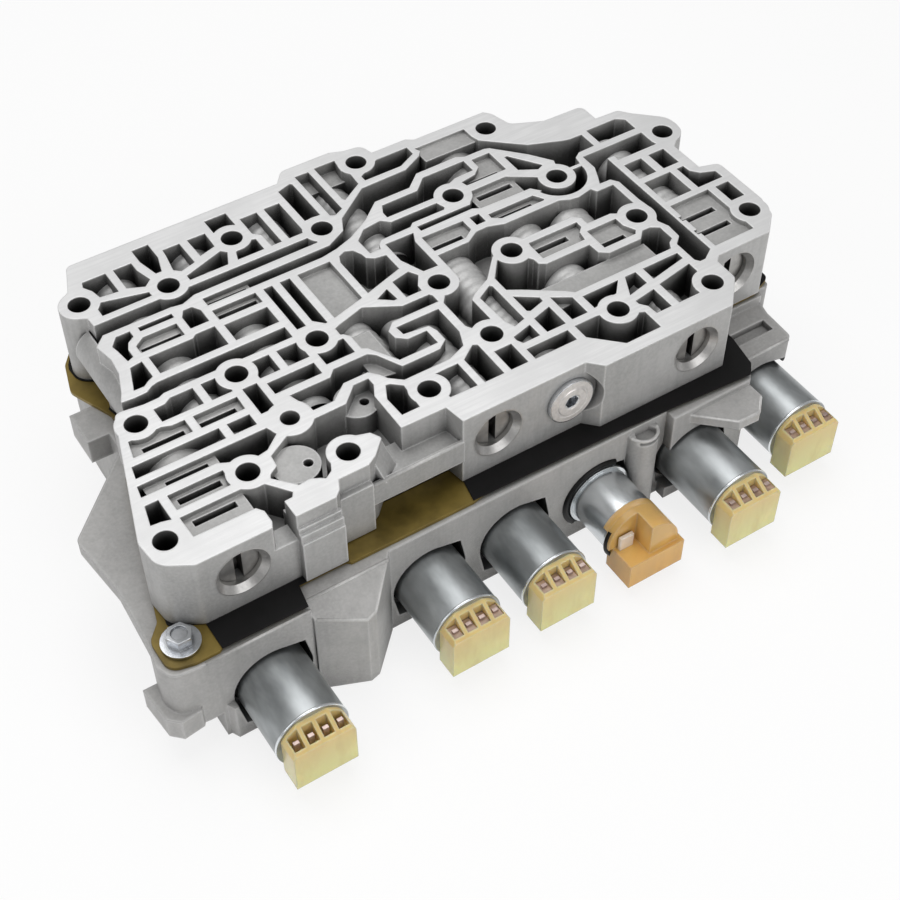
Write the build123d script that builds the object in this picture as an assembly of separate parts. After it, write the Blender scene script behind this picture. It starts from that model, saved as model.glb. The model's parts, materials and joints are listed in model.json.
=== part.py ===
from build123d import *
from collections import namedtuple
from math import atan2, cos, hypot, pi, sin, tan
import os

# Transmission valve body, in mm. Origin: axis of the blind locating hole at the machined top face.
# +X runs along the row of solenoids, +Y to the rear, +Z out of the machined top face.

# Main sizes: length and width over the upper housing, and the heights of the stack
BODY_LENGTH = 284.9
BODY_WIDTH = 160.1
UPPER_HEIGHT = 32.0
GASKET_THICKNESS = 0.5
PLATE_THICKNESS = 1.5
LOWER_HEIGHT = 46.0
GASKET_TOP = -UPPER_HEIGHT
PLATE_TOP = GASKET_TOP - GASKET_THICKNESS
LOWER_TOP = PLATE_TOP - PLATE_THICKNESS
BASE = LOWER_TOP - LOWER_HEIGHT

# Channel maze of the upper housing
LAND = 3.2
CHANNEL_DEPTH = 16.0
SHELF_DEPTH = 2.4

# Bolt holes and the locating hole
BOLT_HOLE_RADIUS = 4.25
BOSS_WALL = 3.5
LOCATING_RADIUS = 3.5
LOCATING_DEPTH = 12.0
LOCATING_WALL = 5.0

# Valve bores along Y
BORE_RADIUS = 8.0
BORE_AXIS = -15.0
MOUTH_CHAMFER = 2.2
MOUTH_DEPTH = 12.0
SLIDING_CLEARANCE = 0.05
SPOOL_LAND = 5.0
SPOOL_WAIST_RADIUS = 4.5
SPRING_RADIUS = 4.8
SPRING_WIRE = 1.3
SPRING_LENGTH = 11.0
SPRING_TURNS = 4
SPRING_END_GAP = 0.1
SPRING_SIDES = 10
PLUG_LENGTH = 6.0
PLUG_INSET = 4.0
SCREW_HEAD_RADIUS = 9.6
SCREW_HEAD_HEIGHT = 2.0
HEX_SOCKET = 5.0
HEX_SOCKET_DEPTH = 4.5
SPOT_FACE_RADIUS = 12.0
DRIVE_SLOT_WIDTH = 3.0
DRIVE_SLOT_DEPTH = 4.5

# Solenoids
CAN_RADIUS = 14.0
CAN_AXIS = -61.0
SEAT_GAP = 1.5
SEAT_DEPTH = 30.0
EAR_DEPTH = 6.0
CONNECTOR_HALF_WIDTH = 12.0
CONNECTOR_DROP = 12.0
CONNECTOR_RISE = 12.0
CONNECTOR_FALL = 5.0
CONNECTOR_ARCH = 13.2
CONNECTOR_LENGTH = 9.0
CONNECTOR_WALL = 1.6
CONNECTOR_FLOOR = 3.0
TERMINAL_COUNT = 4
TERMINAL_WIDTH = 2.2
TERMINAL_THICKNESS = 1.4
COLLAR_WIDTH = 1.5
COLLAR_HEIGHT = 1.3
TERMINAL_RISE = 5.5

# Plug housing of the slim solenoid: base, hood and contact, from the can's axis and rim
STEPPED_BASE_LEFT = -10.5
STEPPED_BASE_RIGHT = 14.5
STEPPED_BASE_LENGTH = 14.0
STEPPED_BASE_TOP = -2.0
STEPPED_BASE_BOTTOM = -14.0
HOOD_RADIUS = 12.6
HOOD_LENGTH = 12.0
HOOD_LIP = 3.0
HOOD_NOTCH = -0.5
PIN_INSET = 3.6
PIN_WIDTH = 6.0
PIN_THICKNESS = 1.5
PIN_TOP = 4.5

# Corner bolt
FLANGE_BOLT = (-67.5, -42.0)
BOLT_SHANK_RADIUS = 3.0
BOLT_FLANGE_RADIUS = 7.0
BOLT_FLANGE_HEIGHT = 1.6
BOLT_HEX_ACROSS = 8.0
BOLT_HEAD_HEIGHT = 6.0
BOLT_DISH_RADIUS = 2.9
BOLT_DISH_DEPTH = 0.7
BOLT_LENGTH = 16.0
BOLT_HOLE_DEPTH = 20.0

OVERRUN = 1.0

BOLT_HOLES = (
    (-60.5, -25.5), (-46.0, 26.5), (-37.5, 92.5), (-5.0, 84.0), (27.5, 95.0), (59.5, 81.0),
    (27.5, 29.0), (-5.5, 29.0), (-24.0, -14.0), (9.0, -24.5), (91.5, 109.0), (148.0, 99.0),
    (208.0, 57.5), (206.0, -0.5), (166.5, 20.5), (167.0, -25.5), (128.5, -18.0), (114.0, 30.5),
    (113.0, 70.0), (154.5, 57.5), (81.0, 30.5), (82.0, -3.5), (48.0, -14.5),
)
LOOP_CENTRE = (154.5, 57.5)
LOOP_RADIUS = 12.3
LOOP_SECTOR = ((135, 52.5), (142, 52.5), LOOP_CENTRE, (169, 57.5), (169, 40), (135, 40))

# Outer contour of the upper housing: x, y and corner radius
UPPER_OUTLINE = (
    (-68.6, -22.0, 6.0), (-67.5, -33.5, 8.0), (-57.0, -39.8, 3.0), (-4.5, -39.8, 0), (-2.0, -37.5, 0),
    (0.0, -33.4, 0), (12.0, -33.4, 0), (16.0, -31.0, 0), (22.3, -24.8, 0), (48.0, -25.3, 0),
    (49.5, -34.0, 0), (102.0, -34.0, 0), (107.0, -39.3, 0), (165.5, -39.3, 0), (175.8, -28.0, 3.0),
    (176.0, -17.5, 0), (178.5, -15.0, 0), (204.0, -15.0, 0), (211.5, -7.5, 4.0), (214.2, 2.0, 0),
    (214.2, 28.5, 3.0), (206.0, 31.0, 0), (206.0, 47.0, 0), (216.3, 56.0, 8.0), (215.5, 64.0, 8.0),
    (204.5, 74.5, 0), (201.0, 79.0, 3.0), (190.0, 79.5, 0), (190.0, 89.5, 3.0), (171.0, 90.0, 0),
    (158.0, 96.0, 4.0), (155.5, 106.0, 8.0), (153.0, 108.7, 0), (119.0, 108.7, 0), (116.0, 110.8, 0),
    (100.0, 110.8, 0), (98.5, 117.0, 6.0), (91.0, 118.0, 0), (85.0, 120.3, 0), (63.0, 120.3, 4.0),
    (58.0, 114.3, 0), (-33.0, 114.3, 3.0), (-38.3, 101.0, 0), (-45.5, 96.0, 7.0), (-45.0, 88.5, 7.0),
    (-38.0, 84.0, 0), (-37.3, 72.5, 0), (-41.5, 68.5, 0), (-39.8, 60.0, 0), (-40.5, 52.0, 0),
    (-44.0, 42.5, 0), (-45.8, 39.0, 0), (-46.5, 34.8, 0), (-50.5, 34.3, 3.0),
)

# Channels, each traced along the centre lines of the lands round it
DEEP_CHANNELS = (
    ((-39.5, 20.8), (-20.2, 20.8), (-20.2, 33), (-31, 33), (-33.8, 31.2), (-39.5, 30.9)),
    ((-20.2, 20.6), (-9, 20.6), (-9, 33), (-20.2, 33)),
    ((-1.1, 20.8), (10.3, 20.8), (10.3, 33), (-1.1, 33)),
    ((10.3, 20.8), (22.2, 20.8), (22.2, 33), (10.3, 33)),
    ((-52, 33.6), (-40, 31.8), (-33.5, 31.9), (-31, 33), (22.1, 33), (22.1, 42.3), (-31, 42.3),
     (-34, 41.5), (-36.5, 39.8), (-41, 39.6), (-52, 40.6)),
    ((-9, 5.4), (-0.1, 5.4), (-0.1, 22.8), (-9, 22.8)),
    ((-0.3, 11.2), (21.9, 11.2), (21.9, 20.6), (-0.3, 20.6)),
    ((-59, 2), (-21.4, 2), (-21.4, 10.8), (-57.2, 10.8)),
    ((-21.4, 2), (-9.4, 2), (-9.4, 10.8), (-21.4, 10.8)),
    ((-61, -6.4), (-31.5, -6.4), (-29.5, -7.5), (-24, -10), (-17.5, -11.2), (-13, -10.4), (-5.5, -4.5),
     (-8, 1.9), (-59.5, 1.9)),
    ((-63.8, -18.8), (-58.5, -19.3), (-53.2, -20.8), (-53.2, -7.1), (-61, -7.1)),
    ((-53.6, -30.6), (-30.2, -31), (-29.1, -32.6), (-29.1, -37), (-30.4, -39.6), (-33.2, -41.4),
     (-33.2, -45), (-18.4, -45), (-18.4, -33.5), (-16, -33.4),
     (-13.7, -29.9), (-21, -20.2), (-25.5, -19.9), (-29.2, -17.8), (-53.9, -17.9)),
    ((-15.5, -11), (-16, -16), (-19.3, -18), (-20.9, -21), (-13, -30), (-8.4, -29.6), (-5.7, -31),
     (-3.5, -32.8), (1, -30), (2.5, -27), (9, -24.5), (15, -21.2), (18.6, -22.4), (20, -25),
     (20.6, -36), (31.4, -36), (31.6, -7.4), (34.3, -2.3), (34.1, 3.2), (26, 3.2), (19.2, -3.2),
     (7, -3.3), (-5, -5)),
    ((3, 11), (7.5, -2.9), (17.6, -2.9), (24.6, 2.7), (33.3, 2.7), (35.6, 0.1), (37.2, -3),
     (42.4, -7.6), (62.4, -7.6), (71.2, -4.2), (74.4, 3.7), (74.4, 19.9), (52.8, 19.9), (53.5, 12.4),
     (63.8, 11.1), (64.7, 8.5), (64.7, 4.1), (61.5, 1.8), (47, 1.8), (42.4, 11), (39.2, 13.9),
     (24, 13.9), (21, 11)),
    ((34, 31), (34, 25), (35.6, 24.4), (36.8, 22.9), (36.8, 15), (39.2, 13.5), (46, 1.8), (64.8, 1.8),
     (64.6, 12.5), (55.6, 12.5), (53, 14.7), (52.8, 17.4), (55.6, 20), (76.6, 20), (76.6, 28.3),
     (63, 28.4), (49.8, 36), (37.5, 32.4)),
    ((-34.2, 100), (-31.8, 96), (-30.6, 90.5), (-20.4, 89.3), (-20.5, 104.6), (-32.7, 104.6)),
    ((-20.5, 90), (-12.2, 86.2), (-7.4, 90.3), (-9.7, 98.3), (-9.8, 104.6), (-20.5, 104.6)),
    ((-9.9, 101.5), (-7.3, 90.9), (-2.4, 90.9), (0.3, 100.3), (0.2, 110.8), (-9.9, 110.8)),
    ((0.1, 100), (-1.4, 90.1), (2.2, 86.7), (10.8, 89.1), (10.6, 104.8), (0.4, 104.8)),
    ((10.7, 104.9), (11.1, 90.2), (21.3, 93.1), (21.6, 104.7)),
    ((-34.3, 80.6), (-11, 80.7), (-11.1, 85.9), (-30.7, 91.1), (-34.3, 86.9)),
    ((1.6, 80.7), (20.3, 80.7), (24.2, 89), (20.8, 92.6), (1.6, 86.2)),
    ((21.4, 99.4), (33.9, 99.4), (33.9, 111.1), (21.4, 111.1)),
    ((21.4, 81), (36.6, 81), (36.6, 90.8), (33.5, 91.8), (23.9, 88.3)),
    ((33.7, 92.4), (36.4, 89.7), (36.7, 81.1), (44.3, 81.1), (44.3, 104.9), (33.7, 104.9)),
    ((44.4, 81.2), (54.4, 81.2), (54.4, 105.1), (44.4, 105.1)),
    ((54.6, 86.9), (64.6, 86.9), (64.6, 111.2), (63, 113.5), (54.4, 110.9)),
    ((64.4, 85), (67.7, 83.2), (73.7, 86), (73.7, 115.6), (64.4, 115.9)),
    ((73.5, 91.5), (75.4, 88.7), (86.9, 95.8), (87.4, 104), (85.3, 108), (86.4, 116.3), (73.5, 116.3)),
    ((87.1, 95.4), (105.9, 95.4), (115.4, 100.2), (115.4, 107.6), (99, 107.6), (87.1, 101)),
    ((-42, 71.2), (-10, 71.2), (-5, 70.3), (1, 72.6), (55.6, 73.2), (55.7, 76), (53, 80.8), (-42, 80.7)),
    ((0.7, 64.6), (51.3, 64.7), (58.5, 66), (66.7, 68.8), (76.9, 74.6), (85.6, 81.9), (101.6, 81.9),
     (108.6, 87.9), (126.6, 88.2), (130.1, 86.4), (139.4, 86.4), (141, 85.8), (151.8, 74), (157.5, 66),
     (154.5, 57.5), (168.4, 57.5), (169.3, 62), (171.4, 63.4), (180.4, 63.7), (180.3, 75.6),
     (173.3, 75.8), (170.6, 76.5), (157, 82), (152, 86.3), (142.5, 94.8), (141.6, 98.2),
     (141.6, 105.1), (113.5, 105.1), (115.3, 101.3), (114, 99.8), (105.6, 95.6), (84.5, 95.1),
     (75.1, 88.3), (67.8, 83), (64.6, 76.6), (56.6, 72.4), (0.7, 72.1)),
    ((89.4, 57.2), (114.5, 57.6), (117.6, 55.9), (140.3, 55.4), (145, 50), (154.5, 57.5), (147.4, 63.4),
     (137.6, 70.1), (119.5, 69.9), (115, 63.4), (89.4, 63.4)),
    ((142.1, 68.2), (150.7, 63.3), (156.3, 65.8), (145.8, 80.6), (142.1, 80.6)),
    ((82.6, 71.2), (105.8, 71.2), (119.7, 77), (130, 77.4), (130, 87.6), (108.4, 87.6), (102.2, 81.9),
     (85.3, 81.7), (82.6, 76.4)),
    ((65.9, 67.7), (66.1, 56.7), (73.4, 56.7), (74.6, 59.9), (76, 61.1), (89.3, 61.4), (91.3, 63.1),
     (106, 63.1), (108.1, 65.4), (106.2, 71.3), (84.6, 71.3), (81.3, 74.4), (72, 73.2)),
    ((109.4, 48.4), (116.9, 48.4), (116.9, 56.8), (109.4, 56.8)),
    ((73.7, 48.2), (78.2, 37.1), (87.3, 36.7), (87.3, 54.4), (90.3, 61.1), (73.7, 61.3)),
    ((53.9, 37.5), (74, 43.8), (73.9, 55.7), (68.3, 56.5), (66.5, 57.9), (66.2, 60.2), (64.2, 64.6),
     (60, 66.4), (55.8, 64.6), (53.9, 60.3)),
    ((22.1, 35.4), (29, 35.4), (29, 64.4), (22.1, 64.4)),
    ((28.9, 37.3), (33.5, 32.5), (36.5, 33), (36.5, 64.4), (29.1, 64.4)),
    ((36.7, 32.8), (53.9, 37.5), (53.9, 64.4), (36.7, 64.4)),
    ((-29.6, 42.4), (0.9, 42.4), (0.9, 56.7), (-8.9, 56.7), (-10.6, 55.3), (-29.6, 55.3)),
    ((0.9, 42.6), (21.9, 42.6), (21.9, 55.3), (0.9, 55.3)),
    ((-10.2, 57), (0.6, 57), (0.6, 66), (-2.2, 70.4), (-7.4, 70.4), (-10.2, 66)),
    ((-26.2, 65.7), (-9.4, 65.7), (-9.4, 71.2), (-26.2, 71.2)),
    ((-38.4, 65.9), (-37.6, 62.2), (-36.4, 53.5), (-30.9, 55.7), (-30.9, 60.6), (-29.7, 63.1),
     (-26.3, 65.4), (-26.4, 71.1), (-34.1, 71.1)),
    ((-41.9, 39.8), (-35.2, 39.6), (-32.5, 41.5), (-29.4, 43), (-29.4, 54.9), (-37, 53.8)),
    ((22.1, 14), (37.1, 14), (37.1, 25.6), (22.1, 25.6)),
    ((53.6, 35.2), (61, 29.4), (64.7, 29.4), (63.9, 40.2)),
    ((64.7, 28.4), (74.6, 28.4), (74.8, 32.5), (78.4, 37.9), (75.2, 43.5), (64.7, 41.3)),
    ((74.6, 4.7), (76.5, 1.6), (82, -3.5), (87.6, 3), (87.6, 14.8), (89.8, 16.6), (98, 20.6),
     (106.5, 29.8), (114, 30.5), (120, 32), (144.3, 32.2), (145.9, 30.5), (145.9, 25.7), (158, 25.6),
     (166.5, 20.5), (171.8, 27), (171.8, 42.6), (163.4, 42.6), (162, 45.4), (154.5, 43.8),
     (150.9, 44.3), (146.9, 46.3), (120.8, 46.3), (114.3, 48.6), (108.1, 48.4), (102.7, 45.1),
     (87.1, 44.9), (87.1, 30), (81, 30.5), (78, 24.5), (74.6, 20.4)),
    ((98, 12.2), (103.6, 8.7), (117, -0.8), (119.8, -3.6), (166.6, -3.6), (168.6, -0.1), (171.4, 1.6),
     (171.4, 10.9), (167, 13.9), (162.3, 13.9), (158.9, 10.4), (145.1, 10.4), (142.7, 12.2),
     (142.3, 18.4), (121.3, 18.4), (119.8, 19.4), (119.6, 22), (114, 30.5), (105.3, 30.2), (98, 21.2)),
    ((163.5, 42.7), (170.3, 42.5), (171.7, 40.5), (171.7, 28), (172.6, 20.6), (169.6, 13.6),
     (171.6, 8.7), (171.3, 2.8), (167.6, -0.5), (167.6, -12.5), (169.7, -15.4), (173.5, -15.4),
     (179.9, -11.2), (179.9, 50.7), (203, 50.7), (201.9, 54.8), (201.9, 63.4), (168.9, 63.4),
     (168.9, 53.9), (166.5, 48.5)),
    ((180.3, 63.6), (201.6, 63.6), (201.6, 73), (197.4, 76.6), (180.3, 76.6)),
    ((179.6, 36.4), (191.4, 36.4), (191.4, 49.9), (179.6, 49.9)),
    ((191.9, 36.4), (202.8, 36.4), (202.8, 49.9), (191.9, 49.9)),
    ((179.6, 19.4), (195.9, 19.4), (195.9, 36.6), (179.6, 36.6)),
    ((196.1, 19.4), (211.6, 19.4), (211.6, 26.6), (205, 29.3), (202.8, 32), (202.5, 36.6), (196.1, 36.6)),
    ((201.9, 5.9), (211.6, 5.9), (211.6, 19.3), (201.9, 19.3)),
    ((119.9, -14.8), (133.8, -12.3), (141.5, -3.7), (119.8, -3.7)),
    ((133.8, -16.8), (147.7, -13.7), (147.7, -3.7), (140.2, -3.7)),
    ((148, -14), (167.7, -10.1), (167.7, -3.7), (148, -3.7)),
    ((134.9, -20.4), (137.2, -23.4), (137.6, -29.1), (147.7, -29.1), (147.7, -14.6), (134.9, -16.7)),
    ((148, -29.1), (160, -29.1), (167.7, -17.8), (167.7, -10.6), (148, -14.2)),
    ((108.1, -24.3), (119.6, -35.7), (137.5, -35.7), (137.5, -23.5), (134.5, -22.1), (128.5, -18),
     (120.3, -15), (108.1, -15)),
    ((86.4, -24.3), (107.9, -24.3), (107.9, -15.3), (86.4, -15.3)),
    ((76, -24.1), (86.6, -24.1), (86.6, -9.9), (76, -9.9)),
    ((86.1, -11.7), (88, -15.3), (97.9, -15.3), (97.9, -5), (86.1, -8)),
    ((97.9, -15.3), (109.4, -15.3), (109.4, -0.9), (97.9, -4.1)),
    ((109.4, -14.9), (119.6, -14.9), (119.6, -2.7), (109.4, 3.7)),
    ((98, -1.4), (100.5, -3), (109.2, -0.5), (109.4, 3.7), (98, 11.9)),
    ((88.1, -0.8), (90.2, -6.8), (98.1, -4.6), (98.1, 18.2), (95.9, 20.4), (87.3, 15.6)),
    ((64.7, -24.1), (76.2, -24.1), (76.2, -4.4), (72.9, -2.5), (64.6, -8.3)),
    ((48, -14.5), (51, -23.6), (64.9, -24), (64.9, -7.8), (52.5, -7.8)),
    ((31.3, -10.5), (31.8, -21.6), (42.1, -21.6), (43, -7.5), (38.2, -3.3), (35.1, -2.9)),
)

# Shallow channels that lie on top of a valve bore
SHELF_CHANNELS = (
    ((-55.5, 11), (-29.5, 11), (-29.5, 20.7), (-35.7, 20.7), (-39, 22), (-53.2, 21.9)),
    ((-29.5, 10.8), (-9.4, 10.8), (-9, 20.6), (-29.5, 20.6)),
    ((-53.1, -17.6), (-29.2, -17.6), (-29.2, -7.1), (-53.1, -7.1)),
    ((-30.9, 55.4), (-10.2, 55.4), (-10.2, 65.6), (-25.7, 65.6), (-30.9, 62)),
    ((0.7, 55.4), (21.9, 55.4), (21.9, 64.4), (0.7, 64.4)),
    ((87.4, 44.4), (103.8, 44.4), (109.3, 48.2), (109.3, 56.6), (87.4, 57)),
    ((116.4, 49.7), (121, 46.4), (142.3, 46.4), (143.9, 48.6), (140.4, 54.4), (116.9, 54.4)),
    ((119.8, 70.6), (141.6, 70.7), (141.6, 86.4), (129.9, 86.4), (129.8, 80.2), (126.8, 77.7),
     (118.4, 76.3)),
    ((119.8, 18.4), (142.5, 18.6), (143.5, 24), (146, 26.3), (146, 31.8), (119.9, 31.8)),
    ((143.1, 10.6), (160.3, 10.6), (162.9, 13.8), (160.1, 19.3), (160.1, 25.2), (143.1, 25.2)),
    ((179.4, -11.6), (201.6, -11.6), (201.6, 19.6), (179.4, 19.6)),
)

# Floors raised inside deep channels: outline and depth below the top face
RAISED_FLOORS = (
    (((-56.5, -5.6), (-29.2, -5.6), (-29.2, 1.9), (-56.5, 1.9)), SHELF_DEPTH),
    (((-53.6, -31), (-29.2, -31), (-29.2, -17.9), (-53.6, -17.9)), SHELF_DEPTH),
    (((-29.1, -39.8), (-18.4, -39.8), (-18.4, -32), (-29.1, -32)), 12.0),
    (((36.8, 33), (53.9, 38), (53.9, 64.4), (36.8, 64.4)), 2.8),
    (((36.8, 4), (48, 2), (48, 27), (36.8, 27)), 5.0),
    (((66, 106), (85, 106), (85, 116), (66, 116)), 5.0),
    (((116.5, 95.5), (141, 95.5), (141, 105.5), (116.5, 105.5)), 1.6),
    (((112.5, -3.5), (161.5, -3.5), (161.5, 9.2), (112.5, 9.2)), 3.7),
    (((178.3, 50), (181.5, 50), (181.5, 55.5), (178.3, 55.5)), 0.0),
    (((119, 57), (140, 57), (140, 69), (119, 69)), SHELF_DEPTH),
    (((0.7, 65), (21, 65), (21, 71), (0.7, 71)), SHELF_DEPTH),
)

# A valve line: bore axis, mouth, blind end, radius, port openings (y of each)
ValveLine = namedtuple("ValveLine", "name x mouth_y end_y radius ports")
FRONT_LINES = (
    ValveLine("a", -41.0, -39.8, 22.0, 8.0, (-22.5, -11.5, -2.5, 15.5)),
    ValveLine("e", 188.0, -15.0, 18.0, 8.5, (9.5, 0.0)),
)
REAR_LINES = (
    ValveLine("k", 129.5, 108.7, 47.0, 8.0, (50.0, 65.0, 74.0)),
)
FRONT_MOUTHS = ((64.5, -34.0), (150.5, -39.3))
SCREW_MOUTH = (95.5, -34.0)
REAR_MOUTHS = ((-20.0, 114.3), (11.5, 114.3), (43.5, 114.3), (76.0, 120.3))
PORT_SLOTS = (
    (-20.0, 15.3, 14.0), (-20.0, 59.5, 16.0), (11.5, 60.0, 16.0), (11.5, 68.0, 16.0), (-20.0, 75.5, 18.0),
    (11.5, 76.0, 18.0), (41.5, 76.0, 20.0), (97.0, 49.0, 14.0), (130.0, 26.5, 15.0), (151.0, 15.2, 12.0),
)
BARRELS = (
    (-41.0, 1.0, 12.0, 13.0), (11.5, 10.0, 22.0, 10.0), (129.5, 80.0, 97.0, 11.5),
    (129.5, 60.0, 71.0, 11.5),
)
PORT_LENGTH = 2.6

# Side wall that swells out over a bore: bore axis, start and end, radius, and the plan it keeps to
SIDE_SWELL = (-36.0, 41.0, 84.5, 9.0)
SIDE_SWELL_PLAN = ((-50, 40), (-38.6, 40), (-38.6, 85), (-50, 85))

# Round pads with a drilled hole in the front notch: centre, radius, depth of the top, hole centre
NOTCH_PADS = (
    ((-7.7, -17.5), 8.8, 3.0, (-3.8, -19.2)), ((26.5, -0.5), 8.5, 6.0, (28.3, -2.5)),
)
PAD_HOLE_RADIUS = 1.75
PAD_HOLE_DEPTH = 7.0

# Front of the upper housing below the notch: start x, end x and the profile in y and z
FRONT_STEPS = (
    (-20.0, -3.4, ((-30, -6.5), (-40.8, -6.5), (-40.8, -9), (-42, -9), (-42, -12.5), (-42.8, -12.5),
                   (-42.8, GASKET_TOP), (-30, GASKET_TOP))),
    (-3.4, 12.0, ((-24, -8), (-35.8, -8), (-35.8, GASKET_TOP), (-24, GASKET_TOP))),
    (12.0, 50.0, ((-20, -12), (-32.3, -12), (-33, -10.5), (-34.5, -10.5), (-34.5, -21), (-20, -21))),
)
GUSSET_FOOT = ((14.0, -30.0), (21.4, -24.4))
GUSSET_REACH = 6.0
GUSSET_DROP = 12.0

# Separator plate and gasket: front edges, the shared rear edge and the left edges
PLATE_FRONT = (
    (-70.5, -30.0, 3.0), (-76.0, -36.0, 5.0), (-76.0, -49.5, 7.5), (-67.0, -51.6, 4.0), (-58.0, -51.6, 0),
    (-56.0, -50.2, 0), (-25.6, -50.8, 0), (-24.2, -42.0, 0), (-4.0, -42.0, 0), (-2.6, -43.5, 0),
    (48.0, -43.7, 0), (55.0, -42.0, 0), (112.0, -43.5, 0),
    (171.0, -47.2, 1.0), (174.5, -43.7, 0), (177.2, -30.0, 0),
)
GASKET_FRONT = (
    (-68.5, -33.5, 2.0), (-57.0, -39.5, 0), (-57.0, -51.4, 0), (-24.6, -52.0, 0), (-23.0, -42.6, 0),
    (-3.0, -42.6, 0), (-1.4, -34.0, 0), (12.0, -34.0, 0), (18.0, -26.5, 0), (49.0, -26.5, 0),
    (50.0, -33.4, 0), (48.0, -43.4, 0), (112.0, -44.9, 0), (172.0, -48.7, 1.0), (175.8, -44.2, 0),
    (178.5, -30.0, 0),
)
REAR_EDGE = (
    (178.5, -14.0, 2.0), (203.0, -14.0, 0),
    (213.0, -10.0, 3.0), (215.0, 29.5, 3.0), (207.0, 32.0, 0), (207.0, 46.5, 0), (217.0, 56.0, 8.0),
    (216.0, 65.0, 8.0), (205.0, 75.5, 0), (191.0, 80.5, 2.0), (191.0, 90.5, 3.0), (171.0, 91.0, 0),
    (159.0, 97.0, 4.0), (156.5, 107.0, 8.0), (118.0, 110.0, 0), (100.5, 112.0, 0), (99.0, 118.5, 6.0),
    (85.0, 121.5, 0), (62.5, 121.5, 4.0), (57.5, 115.5, 0), (-34.0, 115.5, 4.0),
)
PLATE_LEFT = (
    (-46.5, 99.0, 5.0), (-50.5, 85.0, 5.0), (-42.8, 66.0, 0), (-41.8, 52.0, 0), (-47.5, 36.0, 0),
    (-51.5, 35.0, 3.0),
)
GASKET_LEFT = (
    (-46.2, 97.0, 7.0), (-45.7, 88.2, 7.0), (-38.6, 83.5, 0), (-38.0, 72.8, 0), (-42.2, 68.5, 0),
    (-40.4, 60.0, 0), (-41.2, 52.0, 0), (-47.5, 36.0, 0), (-51.5, 35.0, 3.0),
)

# Lower housing
LOWER_OUTLINE = (
    (-24.0, -53.0, 0), (-24.0, -45.5, 0), (134.0, -45.5, 0), (134.0, -50.0, 0), (171.0, -50.0, 2.0),
    (176.0, -44.5, 0), (176.0, -38.0, 0), (203.2, -38.0, 3.0), (204.0, -22.0, 0), (206.6, -11.6, 0),
    (212.2, -13.0, 2.0), (214.0, 28.0, 4.0), (206.0, 33.0, 0), (206.0, 47.0, 0), (215.0, 57.0, 8.0),
    (204.0, 76.0, 4.0), (190.0, 80.0, 0), (188.0, 90.0, 4.0), (158.0, 94.0, 4.0), (153.0, 108.0, 6.0),
    (100.0, 110.0, 4.0), (96.0, 117.0, 6.0), (62.0, 120.0, 5.0), (56.0, 113.0, 0), (-33.0, 113.0, 4.0),
    (-46.0, 96.0, 6.0), (-46.5, 85.0, 6.0), (-47.0, 52.0, 0), (-48.5, 47.5, 3.0), (-78.5, 18.0, 4.0),
    (-75.5, -9.5, 0), (-77.0, -36.0, 0), (-78.5, -45.0, 5.0), (-76.0, -52.0, 6.0), (-66.0, -53.0, 0),
)
WING_BASE = -66.0
WING_EDGE = -61.0
WING_OUTSIDE = -90.0
WING_REAR = 50.0
WING_FRONT = -60.0
WING_COLUMN = -36.0
WING_THICKNESS = 6.0
BULGE_PLAN = ((-24, -40), (-24, -54), (-7, -61), (-3, -60), (11, -46), (11, -40))
BULGE_START = -30.0
BULGE_END = 15.0
BULGE_SLOPE = ((-48, LOWER_TOP), (-62, -44), (-62, LOWER_TOP))
WEDGE_PLAN = ((141, -44), (142, -49.8), (155.5, -63), (165, -63.3), (171.2, -57), (171, -44))
WEDGE_TOP = -36.5
WEDGE_BASE = -41.0
RIB_CENTRE = (122.5, -45.5)
RIB_RADIUS = 6.5
RIB_CUP = 4.6
RIB_CUP_DEPTH = 2.5
RIB_TOP = -37.0
BLOCK_LEDGE = ((176.5, -15.5), (176.5, -46), (216, -46), (216, -15.5))
BLOCK_TOP = -38.0
BLOCK_SLOT = ((180, -30), (200, -30), (200, -24), (180, -24))
BLOCK_SLOT_DEPTH = 3.0
SIDE_LUG_PLAN = ((-55.7, 58.6), (-46, 58.6), (-46, 75), (-55.7, 75))
SIDE_LUG_HEIGHT = 11.0
BOLT_LUG_PLAN = ((-82.5, -34), (-81, -51), (-77, -55), (-69, -54), (-66, -50), (-66, -34))
BOLT_LUG_TOP = -56.0
FOOT_TOP = -62.0
FOOT_PLAN = ((-61, -50), (-58, -56), (-51, -56), (-48, -50))
CORE_DEPTH = 24.0
CORE_SIZE = 25.0
CORE_PITCH = 31.0
CORE_ROWS = ((-57.0, 185.0, 2.0), (-40.0, 202.0, 33.0), (-40.0, 171.0, 64.0))

# A solenoid: axis, wall it goes into, rim of its can, can radius
Solenoid = namedtuple("Solenoid", "name x wall_y rim_y radius")
SOLENOIDS = (
    Solenoid("1", -41.0, -53.0, -80.0, CAN_RADIUS),
    Solenoid("2", 27.8, -45.5, -70.7, CAN_RADIUS),
    Solenoid("3", 65.3, -45.5, -71.4, CAN_RADIUS),
    Solenoid("4", 103.5, -45.5, -67.0, 12.2),
    Solenoid("5", 146.5, -50.0, -78.0, CAN_RADIUS),
    Solenoid("6", 189.0, -38.0, -63.0, CAN_RADIUS),
)


# How far the plan stretches from the size at which its tables are given
PLAN_X = [corner[0] for corner in UPPER_OUTLINE]
PLAN_Y = [corner[1] for corner in UPPER_OUTLINE]
STRETCH_X = BODY_LENGTH / (max(PLAN_X) - min(PLAN_X))
STRETCH_Y = BODY_WIDTH / (max(PLAN_Y) - min(PLAN_Y))


def spread(places):
    """Places of a plan table, x and y stretched and the rest of each row as it is."""
    return [(x * STRETCH_X, y * STRETCH_Y, *rest) for x, y, *rest in places]


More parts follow.
